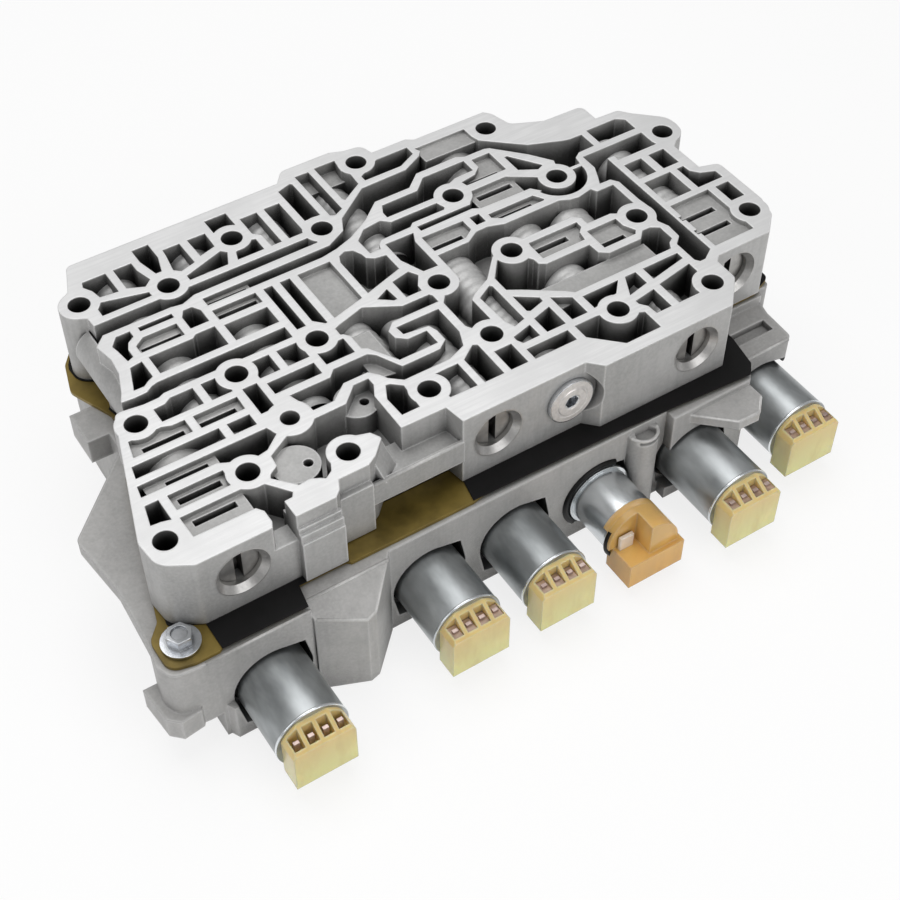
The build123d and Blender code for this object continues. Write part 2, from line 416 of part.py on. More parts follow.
def spread_line(line):
    return line._replace(
        x=line.x * STRETCH_X, mouth_y=line.mouth_y * STRETCH_Y, end_y=line.end_y * STRETCH_Y,
        ports=[y * STRETCH_Y for y in line.ports],
    )


def spread_solenoid(solenoid):
    return solenoid._replace(
        x=solenoid.x * STRETCH_X, wall_y=solenoid.wall_y * STRETCH_Y, rim_y=solenoid.rim_y * STRETCH_Y,
    )


def inset(points, distance):
    """Corners of an anticlockwise outline whose sides have all moved inwards by a distance."""
    moved = []
    for index, (x, y) in enumerate(points):
        before_x, before_y = points[index - 1]
        after_x, after_y = points[(index + 1) % len(points)]
        angle_in = atan2(y - before_y, x - before_x)
        angle_out = atan2(after_y - y, after_x - x)
        normal_x = -sin(angle_in) - sin(angle_out)
        normal_y = cos(angle_in) + cos(angle_out)
        reach = distance / (1 + cos(angle_out - angle_in))
        moved.append((x + normal_x * reach, y + normal_y * reach))
    return moved


def plain_face(points):
    return make_face(Polyline(*points, close=True))


def plan_face(points):
    return plain_face(spread(points))


def rounded_face(table):
    """Flat face inside straight sides that meet at the corners of a plan table of x, y and radius."""
    corners = spread(table)
    sides = []
    joints = []
    for index, (x, y, radius) in enumerate(corners):
        before = corners[index - 1]
        after = corners[(index + 1) % len(corners)]
        angle_in = atan2(y - before[1], x - before[0])
        angle_out = atan2(after[1] - y, after[0] - x)
        half_turn = abs(atan2(sin(angle_out - angle_in), cos(angle_out - angle_in))) / 2
        room = 0.45 * min(hypot(x - before[0], y - before[1]), hypot(after[0] - x, after[1] - y))
        reach = min(radius * tan(half_turn), room)
        entry = (x - reach * cos(angle_in), y - reach * sin(angle_in))
        leave = (x + reach * cos(angle_out), y + reach * sin(angle_out))
        if reach > 0:
            bend = reach / tan(half_turn)
            sag = bend / cos(half_turn) - bend
            inward_x = (entry[0] + leave[0]) / 2 - x
            inward_y = (entry[1] + leave[1]) / 2 - y
            size = hypot(inward_x, inward_y)
            middle = (x + inward_x / size * sag, y + inward_y / size * sag)
            sides.append(ThreePointArc(entry, middle, leave))
        joints.append((entry, leave))
    for index, (entry, leave) in enumerate(joints):
        sides.append(Line(leave, joints[(index + 1) % len(joints)][0]))
    return make_face(sides)


def prism(face, top, bottom):
    return extrude(Pos(0, 0, bottom) * face, amount=top - bottom, dir=(0, 0, 1))


def bar(x, z, start_y, end_y, radius):
    """Round bar along Y."""
    middle = Pos(x, (start_y + end_y) / 2, z)
    return middle * Rot(90, 0, 0) * Cylinder(radius, abs(end_y - start_y))


def mouth(x, mouth_y, radius, direction):
    """Conical lead-in at the mouth of a bore."""
    turned = Rot(-90 * direction, 0, 0) * Cone(radius, radius + MOUTH_CHAMFER, MOUTH_CHAMFER)
    return Pos(x, mouth_y - direction * MOUTH_CHAMFER / 2, BORE_AXIS) * turned


def end_bore(x, mouth_y, direction):
    """Short bore that takes an end plug."""
    hole = bar(x, BORE_AXIS, mouth_y + direction * OVERRUN, mouth_y - direction * MOUTH_DEPTH, BORE_RADIUS)
    return [hole, mouth(x, mouth_y, BORE_RADIUS, direction)]


def valve_cuts(line, direction):
    """Bore, lead-in and port openings of one valve line; direction is +1 when it opens to the rear."""
    outside = line.mouth_y + direction * OVERRUN
    hole = bar(line.x, BORE_AXIS, outside, line.end_y, line.radius)
    cuts = [hole, mouth(line.x, line.mouth_y, line.radius, direction)]
    for port_y in line.ports:
        cuts.append(
            Pos(line.x, port_y, BORE_AXIS / 2)
            * Box(line.radius * 2, PORT_LENGTH, -BORE_AXIS)
        )
    return cuts


def notch_pads():
    """Round pads with a drilled hole: solids to add and holes to cut."""
    fills = []
    holes = []
    for centre, radius, depth, hole in NOTCH_PADS:
        x, y = spread((centre,))[0]
        hole_x, hole_y = spread((hole,))[0]
        fills.append(prism(Pos(x, y) * Circle(radius), -depth, -CHANNEL_DEPTH))
        holes.append(prism(Pos(hole_x, hole_y) * Circle(PAD_HOLE_RADIUS), OVERRUN, -depth - PAD_HOLE_DEPTH))
    return fills, holes


def gusset():
    """Sloping web between the tip of the notch boss and the deck below it."""
    (start_x, start_y), (end_x, end_y) = spread(GUSSET_FOOT)
    back = Vector(start_x - end_x, start_y - end_y, 0)
    outward = Vector(-back.Y, back.X, 0)
    face = Plane(origin=(end_x, end_y, 0), x_dir=outward, z_dir=back)
    profile = ((-OVERRUN, 0), (0, 0), (GUSSET_REACH, -GUSSET_DROP), (-OVERRUN, -GUSSET_DROP))
    return extrude(face * plain_face(profile), amount=back.length, dir=back)


def front_steps():
    """Ledges, block and deck that stand in front of the notch, each a profile drawn along X."""
    steps = []
    for start_x, end_x, profile in FRONT_STEPS:
        drawn = [(y * STRETCH_Y, z) for y, z in profile]
        face = Plane.YZ.offset(start_x * STRETCH_X) * plain_face(drawn)
        steps.append(extrude(face, amount=(end_x - start_x) * STRETCH_X, dir=(1, 0, 0)))
    return steps


def upper_lands():
    """Plan of the lands between the channels, with the ring of each hole."""
    bosses = [Pos(x, y) * Circle(BOLT_HOLE_RADIUS + BOSS_WALL) for x, y in spread(BOLT_HOLES)]
    bosses.append(Circle(LOCATING_RADIUS + LOCATING_WALL))
    channels = [plain_face(inset(spread(points), LAND / 2)) for points in DEEP_CHANNELS + SHELF_CHANNELS]
    loop_x, loop_y = spread((LOOP_CENTRE,))[0]
    channels.append(Pos(loop_x, loop_y) * Circle(LOOP_RADIUS) & plan_face(LOOP_SECTOR))
    return (rounded_face(UPPER_OUTLINE) - channels) + bosses


def upper_fills():
    """Everything that stands on the floor of the channels or in front of them."""
    fills = [prism(plan_face(points), -SHELF_DEPTH, -CHANNEL_DEPTH) for points in SHELF_CHANNELS]
    fills += [prism(plan_face(points), -depth, -CHANNEL_DEPTH) for points, depth in RAISED_FLOORS]
    for x, start, end, radius in BARRELS:
        fills.append(bar(x * STRETCH_X, BORE_AXIS, start * STRETCH_Y, end * STRETCH_Y, radius))
    fills += front_steps()
    fills.append(gusset())
    fills.append(side_swell())
    return fills


def side_swell():
    """Half-round swelling of the left wall over a bore."""
    x, start, end, radius = SIDE_SWELL
    round_bar = bar(x * STRETCH_X, BORE_AXIS, start * STRETCH_Y, end * STRETCH_Y, radius)
    return round_bar & prism(plan_face(SIDE_SWELL_PLAN), 0, GASKET_TOP)


def upper_cuts():
    """Valve bores, mouths, port slots and the drilled holes."""
    cuts = []
    for line in FRONT_LINES:
        cuts += valve_cuts(spread_line(line), -1)
    for line in REAR_LINES:
        cuts += valve_cuts(spread_line(line), 1)
    for x, y in spread(FRONT_MOUTHS):
        cuts += end_bore(x, y, -1)
    for x, y in spread(REAR_MOUTHS):
        cuts += end_bore(x, y, 1)
    x, y = spread((SCREW_MOUTH,))[0]
    cuts.append(bar(x, BORE_AXIS, y, y + MOUTH_DEPTH, BORE_RADIUS))
    cuts.append(bar(x, BORE_AXIS, y - SPOT_FACE_RADIUS, y, SPOT_FACE_RADIUS))
    for x, y, length in spread(PORT_SLOTS):
        cuts.append(Pos(x, y, BORE_AXIS / 2) * Box(length, PORT_LENGTH, -BORE_AXIS))
    for x, y in spread(BOLT_HOLES):
        cuts.append(prism(Pos(x, y) * Circle(BOLT_HOLE_RADIUS), OVERRUN, GASKET_TOP - OVERRUN))
    cuts.append(prism(Circle(LOCATING_RADIUS), OVERRUN, -LOCATING_DEPTH))
    return cuts


def upper_valve_housing():
    body = prism(upper_lands(), 0, -CHANNEL_DEPTH)
    body += prism(rounded_face(UPPER_OUTLINE), -CHANNEL_DEPTH, GASKET_TOP)
    pads, pad_holes = notch_pads()
    body += upper_fills() + pads
    return body - (upper_cuts() + pad_holes)


def gasket():
    return prism(rounded_face(GASKET_FRONT + REAR_EDGE + GASKET_LEFT), GASKET_TOP, PLATE_TOP)


def separator_plate():
    x, y = spread((FLANGE_BOLT,))[0]
    sheet = prism(rounded_face(PLATE_FRONT + REAR_EDGE + PLATE_LEFT), PLATE_TOP, LOWER_TOP)
    return sheet - prism(Pos(x, y) * Circle(BOLT_HOLE_RADIUS), GASKET_TOP, LOWER_TOP - OVERRUN)


def solenoid_pocket(solenoid):
    """Seat of one solenoid: a round pocket with two opposite corners at its mouth."""
    radius = solenoid.radius + SEAT_GAP
    seat = bar(solenoid.x, CAN_AXIS, solenoid.rim_y, solenoid.wall_y + SEAT_DEPTH, radius)
    ear_length = solenoid.wall_y - solenoid.rim_y + EAR_DEPTH
    corner = ((0, 0), (radius, radius * 0.1), (radius * 0.86, radius * 0.82), (radius * 0.1, radius))
    opposite = [(-x, -z) for x, z in corner]
    mouth = Plane.XZ.offset(-solenoid.wall_y - EAR_DEPTH) * Pos(solenoid.x, CAN_AXIS)
    ears = mouth * (plain_face(corner) + plain_face(opposite))
    return seat + extrude(ears, amount=ear_length, dir=(0, -1, 0))


def lower_additions():
    """Forms that stand out from the lower housing's block."""
    bolt_lug = prism(plan_face(BOLT_LUG_PLAN), BOLT_LUG_TOP, WING_BASE)
    foot = prism(plan_face(FOOT_PLAN), FOOT_TOP, BASE)
    bulge = prism(plan_face(BULGE_PLAN), LOWER_TOP, BASE)
    drawn = [(y * STRETCH_Y, z) for y, z in BULGE_SLOPE]
    slope = Plane.YZ.offset(BULGE_START * STRETCH_X) * plain_face(drawn)
    bulge -= extrude(slope, amount=(BULGE_END - BULGE_START) * STRETCH_X, dir=(1, 0, 0))
    wedge = prism(plan_face(WEDGE_PLAN), WEDGE_TOP, WEDGE_BASE)
    rib_x, rib_y = spread((RIB_CENTRE,))[0]
    rib = prism(Pos(rib_x, rib_y) * Circle(RIB_RADIUS), RIB_TOP, BASE)
    side_lug = prism(plan_face(SIDE_LUG_PLAN), LOWER_TOP, LOWER_TOP - SIDE_LUG_HEIGHT)
    return [bolt_lug, foot, bulge, wedge, rib, side_lug]


def core_recesses():
    """Grid of square recesses in the underside."""
    recesses = []
    for start_x, end_x, start_y in CORE_ROWS:
        steps = round((end_x - start_x - CORE_SIZE) / CORE_PITCH)
        for index in range(steps + 1):
            x, y = spread(((start_x + index * CORE_PITCH, start_y),))[0]
            square = Pos(x + CORE_SIZE / 2, y + CORE_SIZE / 2) * Rectangle(CORE_SIZE, CORE_SIZE)
            recesses.append(prism(square, BASE + CORE_DEPTH, BASE - OVERRUN))
    return recesses


def lower_cuts():
    """Space under the wing and its column, block ledge and slot, rib cup, recesses and solenoid seats."""
    cuts = []
    for front, top in ((WING_FRONT, WING_BASE), (WING_COLUMN, LOWER_TOP - WING_THICKNESS)):
        plan = (
            (WING_OUTSIDE, front), (WING_EDGE, front), (WING_EDGE, WING_REAR), (WING_OUTSIDE, WING_REAR),
        )
        cuts.append(prism(plan_face(plan), top, BASE - OVERRUN))
    cuts.append(prism(plan_face(BLOCK_LEDGE), LOWER_TOP + OVERRUN, BLOCK_TOP))
    cuts.append(prism(plan_face(BLOCK_SLOT), BLOCK_TOP + OVERRUN, BLOCK_TOP - BLOCK_SLOT_DEPTH))
    rib_x, rib_y = spread((RIB_CENTRE,))[0]
    cup = Pos(rib_x, rib_y - RIB_RADIUS / 2) * Circle(RIB_CUP)
    cuts.append(prism(cup & Pos(rib_x, rib_y - RIB_RADIUS) * Rectangle(RIB_RADIUS * 2, RIB_RADIUS * 2),
                      RIB_TOP + OVERRUN, RIB_TOP - RIB_CUP_DEPTH))
    cuts += core_recesses()
    for solenoid in SOLENOIDS:
        cuts.append(solenoid_pocket(spread_solenoid(solenoid)))
    bolt_x, bolt_y = spread((FLANGE_BOLT,))[0]
    thread = Pos(bolt_x, bolt_y) * Circle(BOLT_SHANK_RADIUS)
    cuts.append(prism(thread, LOWER_TOP, LOWER_TOP - BOLT_HOLE_DEPTH))
    return cuts


def lower_valve_housing():
    body = prism(rounded_face(LOWER_OUTLINE), LOWER_TOP, BASE) + lower_additions()
    return body - lower_cuts()


def spool(line, direction):
    """Valve spool with two lands, its inner end against the blind end of the bore."""
    radius = line.radius - SLIDING_CLEARANCE
    room = abs(line.mouth_y - line.end_y) - PLUG_INSET - PLUG_LENGTH - SPRING_LENGTH
    inner = line.end_y + direction * SPOOL_LAND
    outer = line.end_y + direction * (room - SPOOL_LAND)
    end = line.end_y + direction * room
    first = bar(line.x, BORE_AXIS, line.end_y, inner, radius)
    last = bar(line.x, BORE_AXIS, outer, end, radius)
    return first + bar(line.x, BORE_AXIS, line.end_y, end, SPOOL_WAIST_RADIUS) + last


def spring(line, direction):
    """Return spring between the spool and the plug, its wire following a polygonal helix."""
    plug_face = line.mouth_y - direction * (PLUG_INSET + PLUG_LENGTH)
    steps = SPRING_TURNS * SPRING_SIDES
    end_gap = SPRING_WIRE / 2 + SPRING_END_GAP
    pitch = (SPRING_LENGTH - 2 * end_gap) / steps
    path = []
    for step in range(steps + 1):
        angle = 2 * pi * step / SPRING_SIDES
        y = plug_face - direction * (end_gap + pitch * step)
        path.append((line.x + SPRING_RADIUS * cos(angle), y, BORE_AXIS + SPRING_RADIUS * sin(angle)))
    wire = Polyline(*path)
    section = Plane(origin=path[0], z_dir=wire % 0) * Rectangle(SPRING_WIRE, SPRING_WIRE)
    return sweep(section, path=wire, transition=Transition.RIGHT)


def plug(x, mouth_y, radius, direction):
    """Bore plug with a screwdriver slot across its outer face."""
    face_y = mouth_y - direction * PLUG_INSET
    body = bar(x, BORE_AXIS, face_y, face_y - direction * PLUG_LENGTH, radius - SLIDING_CLEARANCE)
    slot = Pos(x, face_y, BORE_AXIS) * Box(DRIVE_SLOT_WIDTH, DRIVE_SLOT_DEPTH * 2, radius * 3)
    return body - slot


def screw_plug():
    """Headed plug with a hexagon socket, screwed into the middle front bore."""
    x, y = spread((SCREW_MOUTH,))[0]
    head = bar(x, BORE_AXIS, y - SCREW_HEAD_HEIGHT, y, SCREW_HEAD_RADIUS)
    shank = bar(x, BORE_AXIS, y, y + MOUTH_DEPTH, BORE_RADIUS - SLIDING_CLEARANCE)
    face = Plane.XZ.offset(SCREW_HEAD_HEIGHT - y) * Pos(x, BORE_AXIS)
    socket = face * RegularPolygon(HEX_SOCKET / 2, 6, major_radius=False)
    return head + shank - extrude(socket, amount=HEX_SOCKET_DEPTH, dir=(0, 1, 0))


def flange_bolt():
    x, y = spread((FLANGE_BOLT,))[0]
    flange = Cylinder(BOLT_FLANGE_RADIUS, BOLT_FLANGE_HEIGHT, align=(Align.CENTER, Align.CENTER, Align.MIN))
    head = extrude(RegularPolygon(BOLT_HEX_ACROSS / 2, 6, major_radius=False), amount=BOLT_HEAD_HEIGHT)
    dish = Pos(0, 0, BOLT_HEAD_HEIGHT) * Cylinder(BOLT_DISH_RADIUS, BOLT_DISH_DEPTH * 2)
    shank = Pos(0, 0, -BOLT_LENGTH / 2) * Cylinder(BOLT_SHANK_RADIUS - SLIDING_CLEARANCE, BOLT_LENGTH)
    return Pos(x, y, PLATE_TOP) * (flange + head - dish + shank)


def can(solenoid):
    """Steel can that bottoms in its pocket; the slim one has a collar at the pocket's mouth."""
    body = bar(solenoid.x, CAN_AXIS, solenoid.rim_y, solenoid.wall_y + SEAT_DEPTH, solenoid.radius)
    if solenoid.radius == CAN_RADIUS:
        return body
    collar_y = solenoid.wall_y - COLLAR_WIDTH
    return body + bar(solenoid.x, CAN_AXIS, collar_y, solenoid.wall_y, solenoid.radius + COLLAR_HEIGHT)


def contact_offsets():
    """Width of one contact window of a connector and the places of the windows across it."""
    inside = 2 * (CONNECTOR_HALF_WIDTH - CONNECTOR_WALL)
    width = (inside - (TERMINAL_COUNT - 1) * CONNECTOR_WALL) / TERMINAL_COUNT
    pitch = width + CONNECTOR_WALL
    return width, [(index - (TERMINAL_COUNT - 1) / 2) * pitch for index in range(TERMINAL_COUNT)]


def connector(solenoid):
    """Plug housing on the front of a can: a trough with an arched, falling top and ribs inside."""
    front = solenoid.rim_y - CONNECTOR_LENGTH
    profile = (
        (solenoid.rim_y, -CONNECTOR_DROP), (solenoid.rim_y, CONNECTOR_RISE),
        (front, CONNECTOR_RISE - CONNECTOR_FALL), (front, -CONNECTOR_DROP),
    )
    side = Plane.YZ.offset(solenoid.x - CONNECTOR_HALF_WIDTH) * Pos(0, CAN_AXIS) * plain_face(profile)
    body = extrude(side, amount=CONNECTOR_HALF_WIDTH * 2, dir=(1, 0, 0))
    middle_y = (solenoid.rim_y + front) / 2
    lower = Pos(solenoid.x, middle_y, CAN_AXIS - CONNECTOR_DROP / 2)
    arch = bar(solenoid.x, CAN_AXIS, solenoid.rim_y, front, CONNECTOR_ARCH)
    body = body & (arch + lower * Box(CONNECTOR_HALF_WIDTH * 2, CONNECTOR_LENGTH, CONNECTOR_DROP))
    reach = CONNECTOR_LENGTH - CONNECTOR_WALL * 2
    floor = CAN_AXIS + CONNECTOR_FLOOR
    top = CAN_AXIS + CONNECTOR_ARCH + OVERRUN
    width, offsets = contact_offsets()
    cuts = []
    for offset in offsets:
        cuts.append(Pos(solenoid.x + offset, middle_y, (floor + top) / 2) * Box(width, reach, top - floor))
    return body - cuts


def stepped_connector(solenoid):
    """Plug housing of the slim solenoid: a base with a hood on its right, open over the contact."""
    rim = solenoid.rim_y
    base_width = STEPPED_BASE_RIGHT - STEPPED_BASE_LEFT
    base_height = STEPPED_BASE_TOP - STEPPED_BASE_BOTTOM
    base_x = solenoid.x + (STEPPED_BASE_LEFT + STEPPED_BASE_RIGHT) / 2
    base_z = CAN_AXIS + (STEPPED_BASE_TOP + STEPPED_BASE_BOTTOM) / 2
    base = Pos(base_x, rim - STEPPED_BASE_LENGTH / 2, base_z)
    base *= Box(base_width, STEPPED_BASE_LENGTH, base_height)
    upper = (
        (-HOOD_RADIUS, STEPPED_BASE_TOP), (HOOD_RADIUS, STEPPED_BASE_TOP),
        (HOOD_RADIUS, HOOD_RADIUS), (-HOOD_RADIUS, HOOD_RADIUS),
    )
    face = Plane.XZ.offset(-rim) * Pos(solenoid.x, CAN_AXIS) * plain_face(upper)
    hood = bar(solenoid.x, CAN_AXIS, rim, rim - HOOD_LENGTH, HOOD_RADIUS)
    hood &= extrude(face, amount=HOOD_LENGTH)
    notch_width = HOOD_RADIUS + HOOD_NOTCH + OVERRUN
    notch_height = HOOD_RADIUS - STEPPED_BASE_TOP
    notch = Pos(
        solenoid.x + HOOD_NOTCH - notch_width / 2,
        rim - HOOD_LIP - HOOD_LENGTH / 2,
        CAN_AXIS + STEPPED_BASE_TOP + notch_height / 2,
    )
    return base + (hood - notch * Box(notch_width, HOOD_LENGTH, notch_height))


def terminals(solenoid):
    """Contact blades standing in the windows of a connector."""
    floor = CAN_AXIS + CONNECTOR_FLOOR
    blades = []
    for offset in contact_offsets()[1]:
        place = Pos(solenoid.x + offset, solenoid.rim_y - CONNECTOR_LENGTH / 2, floor + TERMINAL_RISE / 2)
        blades.append(place * Box(TERMINAL_WIDTH, TERMINAL_THICKNESS, TERMINAL_RISE))
    return Compound(children=blades)


def contact_pin(solenoid):
    """Flat contact of the slim solenoid, standing on the open side of its plug housing."""
    height = PIN_TOP - STEPPED_BASE_TOP
    x = solenoid.x - HOOD_RADIUS + PIN_INSET + PIN_WIDTH / 2
    y = solenoid.rim_y - HOOD_LIP - PIN_THICKNESS
    return Pos(x, y, CAN_AXIS + STEPPED_BASE_TOP + height / 2) * Box(PIN_WIDTH, PIN_THICKNESS, height)


def save(shape, name):
    export_step(shape, "parts/" + name + ".step")


os.makedirs("parts", exist_ok=True)
save(upper_valve_housing(), "upper_valve_housing")
save(gasket(), "separator_gasket")
save(separator_plate(), "separator_plate")
save(lower_valve_housing(), "lower_valve_housing")
save(flange_bolt(), "corner_flange_bolt")
for lines, direction in ((FRONT_LINES, -1), (REAR_LINES, 1)):
    for line in map(spread_line, lines):
        save(spool(line, direction), "spool_valve_" + line.name)
        save(spring(line, direction), "return_spring_" + line.name)
        save(plug(line.x, line.mouth_y, line.radius, direction), "bore_plug_" + line.name)
save(screw_plug(), "screw_plug")
for places, direction, name in ((FRONT_MOUTHS, -1, "front_end_plugs"), (REAR_MOUTHS, 1, "rear_end_plugs")):
    save(Compound(children=[plug(x, y, BORE_RADIUS, direction) for x, y in spread(places)]), name)
for solenoid in map(spread_solenoid, SOLENOIDS):
    save(can(solenoid), "solenoid_can_" + solenoid.name)
    if solenoid.radius == CAN_RADIUS:
        save(connector(solenoid), "solenoid_connector_" + solenoid.name)
        save(terminals(solenoid), "solenoid_terminals_" + solenoid.name)
    else:
        save(stepped_connector(solenoid), "solenoid_connector_" + solenoid.name)
        save(contact_pin(solenoid), "solenoid_terminals_" + solenoid.name)
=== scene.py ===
import bmesh
import bpy
import json
from math import cos, pi, radians, sin
from mathutils import Matrix, Vector


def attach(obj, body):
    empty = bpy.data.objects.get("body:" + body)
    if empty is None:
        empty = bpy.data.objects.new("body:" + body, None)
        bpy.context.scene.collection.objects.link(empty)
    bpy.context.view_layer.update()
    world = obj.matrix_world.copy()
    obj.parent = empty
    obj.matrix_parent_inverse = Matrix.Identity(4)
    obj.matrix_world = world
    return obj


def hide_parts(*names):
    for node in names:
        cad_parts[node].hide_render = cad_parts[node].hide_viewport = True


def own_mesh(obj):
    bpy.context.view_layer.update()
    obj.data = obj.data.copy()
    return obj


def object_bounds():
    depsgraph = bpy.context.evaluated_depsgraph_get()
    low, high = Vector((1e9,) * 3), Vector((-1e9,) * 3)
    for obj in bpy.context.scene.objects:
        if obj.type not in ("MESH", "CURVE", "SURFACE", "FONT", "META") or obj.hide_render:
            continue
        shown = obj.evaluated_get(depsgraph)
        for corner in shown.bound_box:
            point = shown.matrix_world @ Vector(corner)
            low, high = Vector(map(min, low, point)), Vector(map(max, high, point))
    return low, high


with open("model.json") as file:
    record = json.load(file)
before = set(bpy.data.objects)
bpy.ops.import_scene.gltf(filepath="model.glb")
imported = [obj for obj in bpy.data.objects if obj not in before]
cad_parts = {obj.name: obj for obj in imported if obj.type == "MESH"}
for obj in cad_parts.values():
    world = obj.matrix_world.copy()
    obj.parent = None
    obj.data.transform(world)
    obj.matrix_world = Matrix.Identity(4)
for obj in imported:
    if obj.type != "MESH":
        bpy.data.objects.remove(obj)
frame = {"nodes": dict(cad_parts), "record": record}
loaded_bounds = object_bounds()
nodes = frame["nodes"]
MM = 0.001


# Materials

class Shader:
    """Short hand for building one procedural material."""

    def __init__(self, name, roughness, metallic=0.0, specular=0.5):
        self.material = bpy.data.materials.new(name)
        self.material.use_nodes = True
        self.tree = self.material.node_tree
        self.surface = self.tree.nodes["Principled BSDF"]
        self.fix("Roughness", roughness)
        self.fix("Metallic", metallic)
        self.fix("Specular IOR Level", specular)
        self.geometry = self.node("ShaderNodeNewGeometry")
        self.place = self.node("ShaderNodeTexCoord").outputs["Object"]

    def fix(self, name, value):
        """Set one input of the surface to a fixed value."""
        self.surface.inputs[name].default_value = value

    def node(self, kind, settings=(), values=()):
        """Add a node with its settings and the values of its inputs."""
        node = self.tree.nodes.new(kind)
        for key, value in settings:
            setattr(node, key, value)
        for key, value in values:
            node.inputs[key].default_value = value
        return node

    def link(self, source, target):
        self.tree.links.new(source, target)

    def put(self, socket, value):
        """Feed a colour input from another node, or from three numbers."""
        if hasattr(value, "node"):
            self.link(value, socket)
        else:
            socket.default_value = (*value, 1.0)

    def axis(self, source, name):
        """One axis of a place or a normal."""
        parts = self.node("ShaderNodeSeparateXYZ")
        self.link(source, parts.inputs["Vector"])
        return parts.outputs[name]

    def noise(self, scale, detail=4.0, roughness=0.6, stretch=(1.0, 1.0, 1.0)):
        """Noise with a scale per metre, drawn out along the axes whose stretch is small."""
        mapping = self.node("ShaderNodeMapping", values=(("Scale", stretch),))
        self.link(self.place, mapping.inputs["Vector"])
        values = (("Scale", scale), ("Detail", detail), ("Roughness", roughness))
        noise = self.node("ShaderNodeTexNoise", values=values)
        self.link(mapping.outputs["Vector"], noise.inputs["Vector"])
        return noise.outputs["Fac"]

    def level(self, factor, low, high, start=0.0, end=1.0):
        """Go from low to high as a factor goes from start to end."""
        values = (("From Min", start), ("From Max", end), ("To Min", low), ("To Max", high))
        spread = self.node("ShaderNodeMapRange", values=values)
        self.link(factor, spread.inputs["Value"])
        return spread.outputs["Result"]

    def mix(self, factor, low, high):
        """Mix two colours by a factor."""
        mix = self.node("ShaderNodeMix", settings=(("data_type", "RGBA"),))
        self.link(factor, mix.inputs["Factor"])
        self.put(mix.inputs[6], low)
        self.put(mix.inputs[7], high)
        return mix.outputs[2]

    def veil(self, body, factor, colour, share=1.0, start=0.0, end=1.0):
        """Lay a colour over a body, up to a share, as a factor goes from start to end."""
        return self.mix(self.level(factor, 0.0, share, start, end), body, colour)

    def calculate(self, operation, first, second):
        """Join two values by a math operation; the second may be a plain number."""
        node = self.node("ShaderNodeMath", settings=(("operation", operation),))
        self.link(first, node.inputs[0])
        if isinstance(second, float):
            node.inputs[1].default_value = second
        else:
            self.link(second, node.inputs[1])
        return node.outputs["Value"]

    def openness(self, reach):
        """One in the open, falling to zero where walls stand within the reach."""
        shade = self.node("ShaderNodeAmbientOcclusion", (("samples", 6),), (("Distance", reach),))
        return shade.outputs["AO"]

    def rounded_normal(self, radius, samples):
        """Normal of the surface with its edges rounded."""
        bevel = self.node("ShaderNodeBevel", (("samples", samples),), (("Radius", radius),))
        return bevel.outputs["Normal"]

    def painted_edge_highlight(self, radius, low, high):
        """Mask for a painted highlight: one along convex edges, where the rounded normal leaves the flat
        one.
        """
        rounded = self.rounded_normal(radius, 4)
        turn = self.node("ShaderNodeVectorMath", settings=(("operation", "DOT_PRODUCT"),))
        self.link(rounded, turn.inputs[0])
        self.link(self.geometry.outputs["Normal"], turn.inputs[1])
        return self.level(turn.outputs["Value"], 1.0, 0.0, low, high)

    def colour(self, value):
        self.put(self.surface.inputs["Base Color"], value)

    def rough(self, value):
        self.link(value, self.surface.inputs["Roughness"])

    def bump(self, height, strength, distance, edge=0.0):
        """Roughen the surface by a height, over edges rounded by a radius."""
        bump = self.node("ShaderNodeBump", values=(("Strength", strength), ("Distance", distance)))
        self.link(height, bump.inputs["Height"])
        if edge > 0:
            self.link(self.rounded_normal(edge, 6), bump.inputs["Normal"])
        self.link(bump.outputs["Normal"], self.surface.inputs["Normal"])


def scaled(colour, factor):
    return tuple(part * factor for part in colour)


# Cast aluminium: scales of its patterns per metre
CLOUDS = 30.0
SPARKLE = 900.0
PITS = 160.0
SCUFFS = 420.0
SCUFF_STRETCH = (1.0, 1.0, 0.06)
DULL_SPOTS = 300.0
GRAIN = 1500.0
GRAIN_HEIGHT = 0.15 * MM

# Painted shade in cavities: how near walls have to stand to darken a wall or a floor, and a deep wall's
# share of the shade colour
WALL_REACH = 22 * MM
FLOOR_REACH = 9 * MM
WALL_SHADE_SHARE = 0.15

# Painted edge highlights: width of the light band over the radius of the edge
HIGHLIGHT_WIDTH = 1.5

# Milled face: heights between which it begins, and the streaks that the cutter left along X
MILLED_FROM = -0.6 * MM
MILLED_TO = -0.2 * MM
STREAKS = 600.0
STREAK_STRETCH = (0.06, 1.0, 1.0)
MILLED_CLOUDS = 22.0
MILLED_ROUGHNESS = 0.5


def milled_face(shader, body, roughness, milled):
    """Give the flat face at the top of a casting its milled colour and roughness."""
    height = shader.axis(shader.geometry.outputs["Position"], "Z")
    slope = shader.axis(shader.geometry.outputs["Normal"], "Z")
    is_top = shader.level(height, 0.0, 1.0, MILLED_FROM, MILLED_TO)
    face = shader.calculate("MULTIPLY", is_top, shader.level(slope, 0.0, 1.0, 0.6, 0.9))
    streaks = shader.noise(STREAKS, stretch=STREAK_STRETCH)
    lay = shader.veil(scaled(milled, 0.92), streaks, milled, 1.0, 0.4, 0.6)
    clouds = shader.veil(scaled(milled, 0.86), shader.noise(MILLED_CLOUDS), lay, 1.0, 0.3, 0.6)
    spread = shader.node("ShaderNodeMix", (("data_type", "FLOAT"),), ((3, MILLED_ROUGHNESS),))
    shader.link(face, spread.inputs["Factor"])
    shader.link(roughness, spread.inputs[2])
    return shader.mix(face, body, clouds), spread.outputs[0]


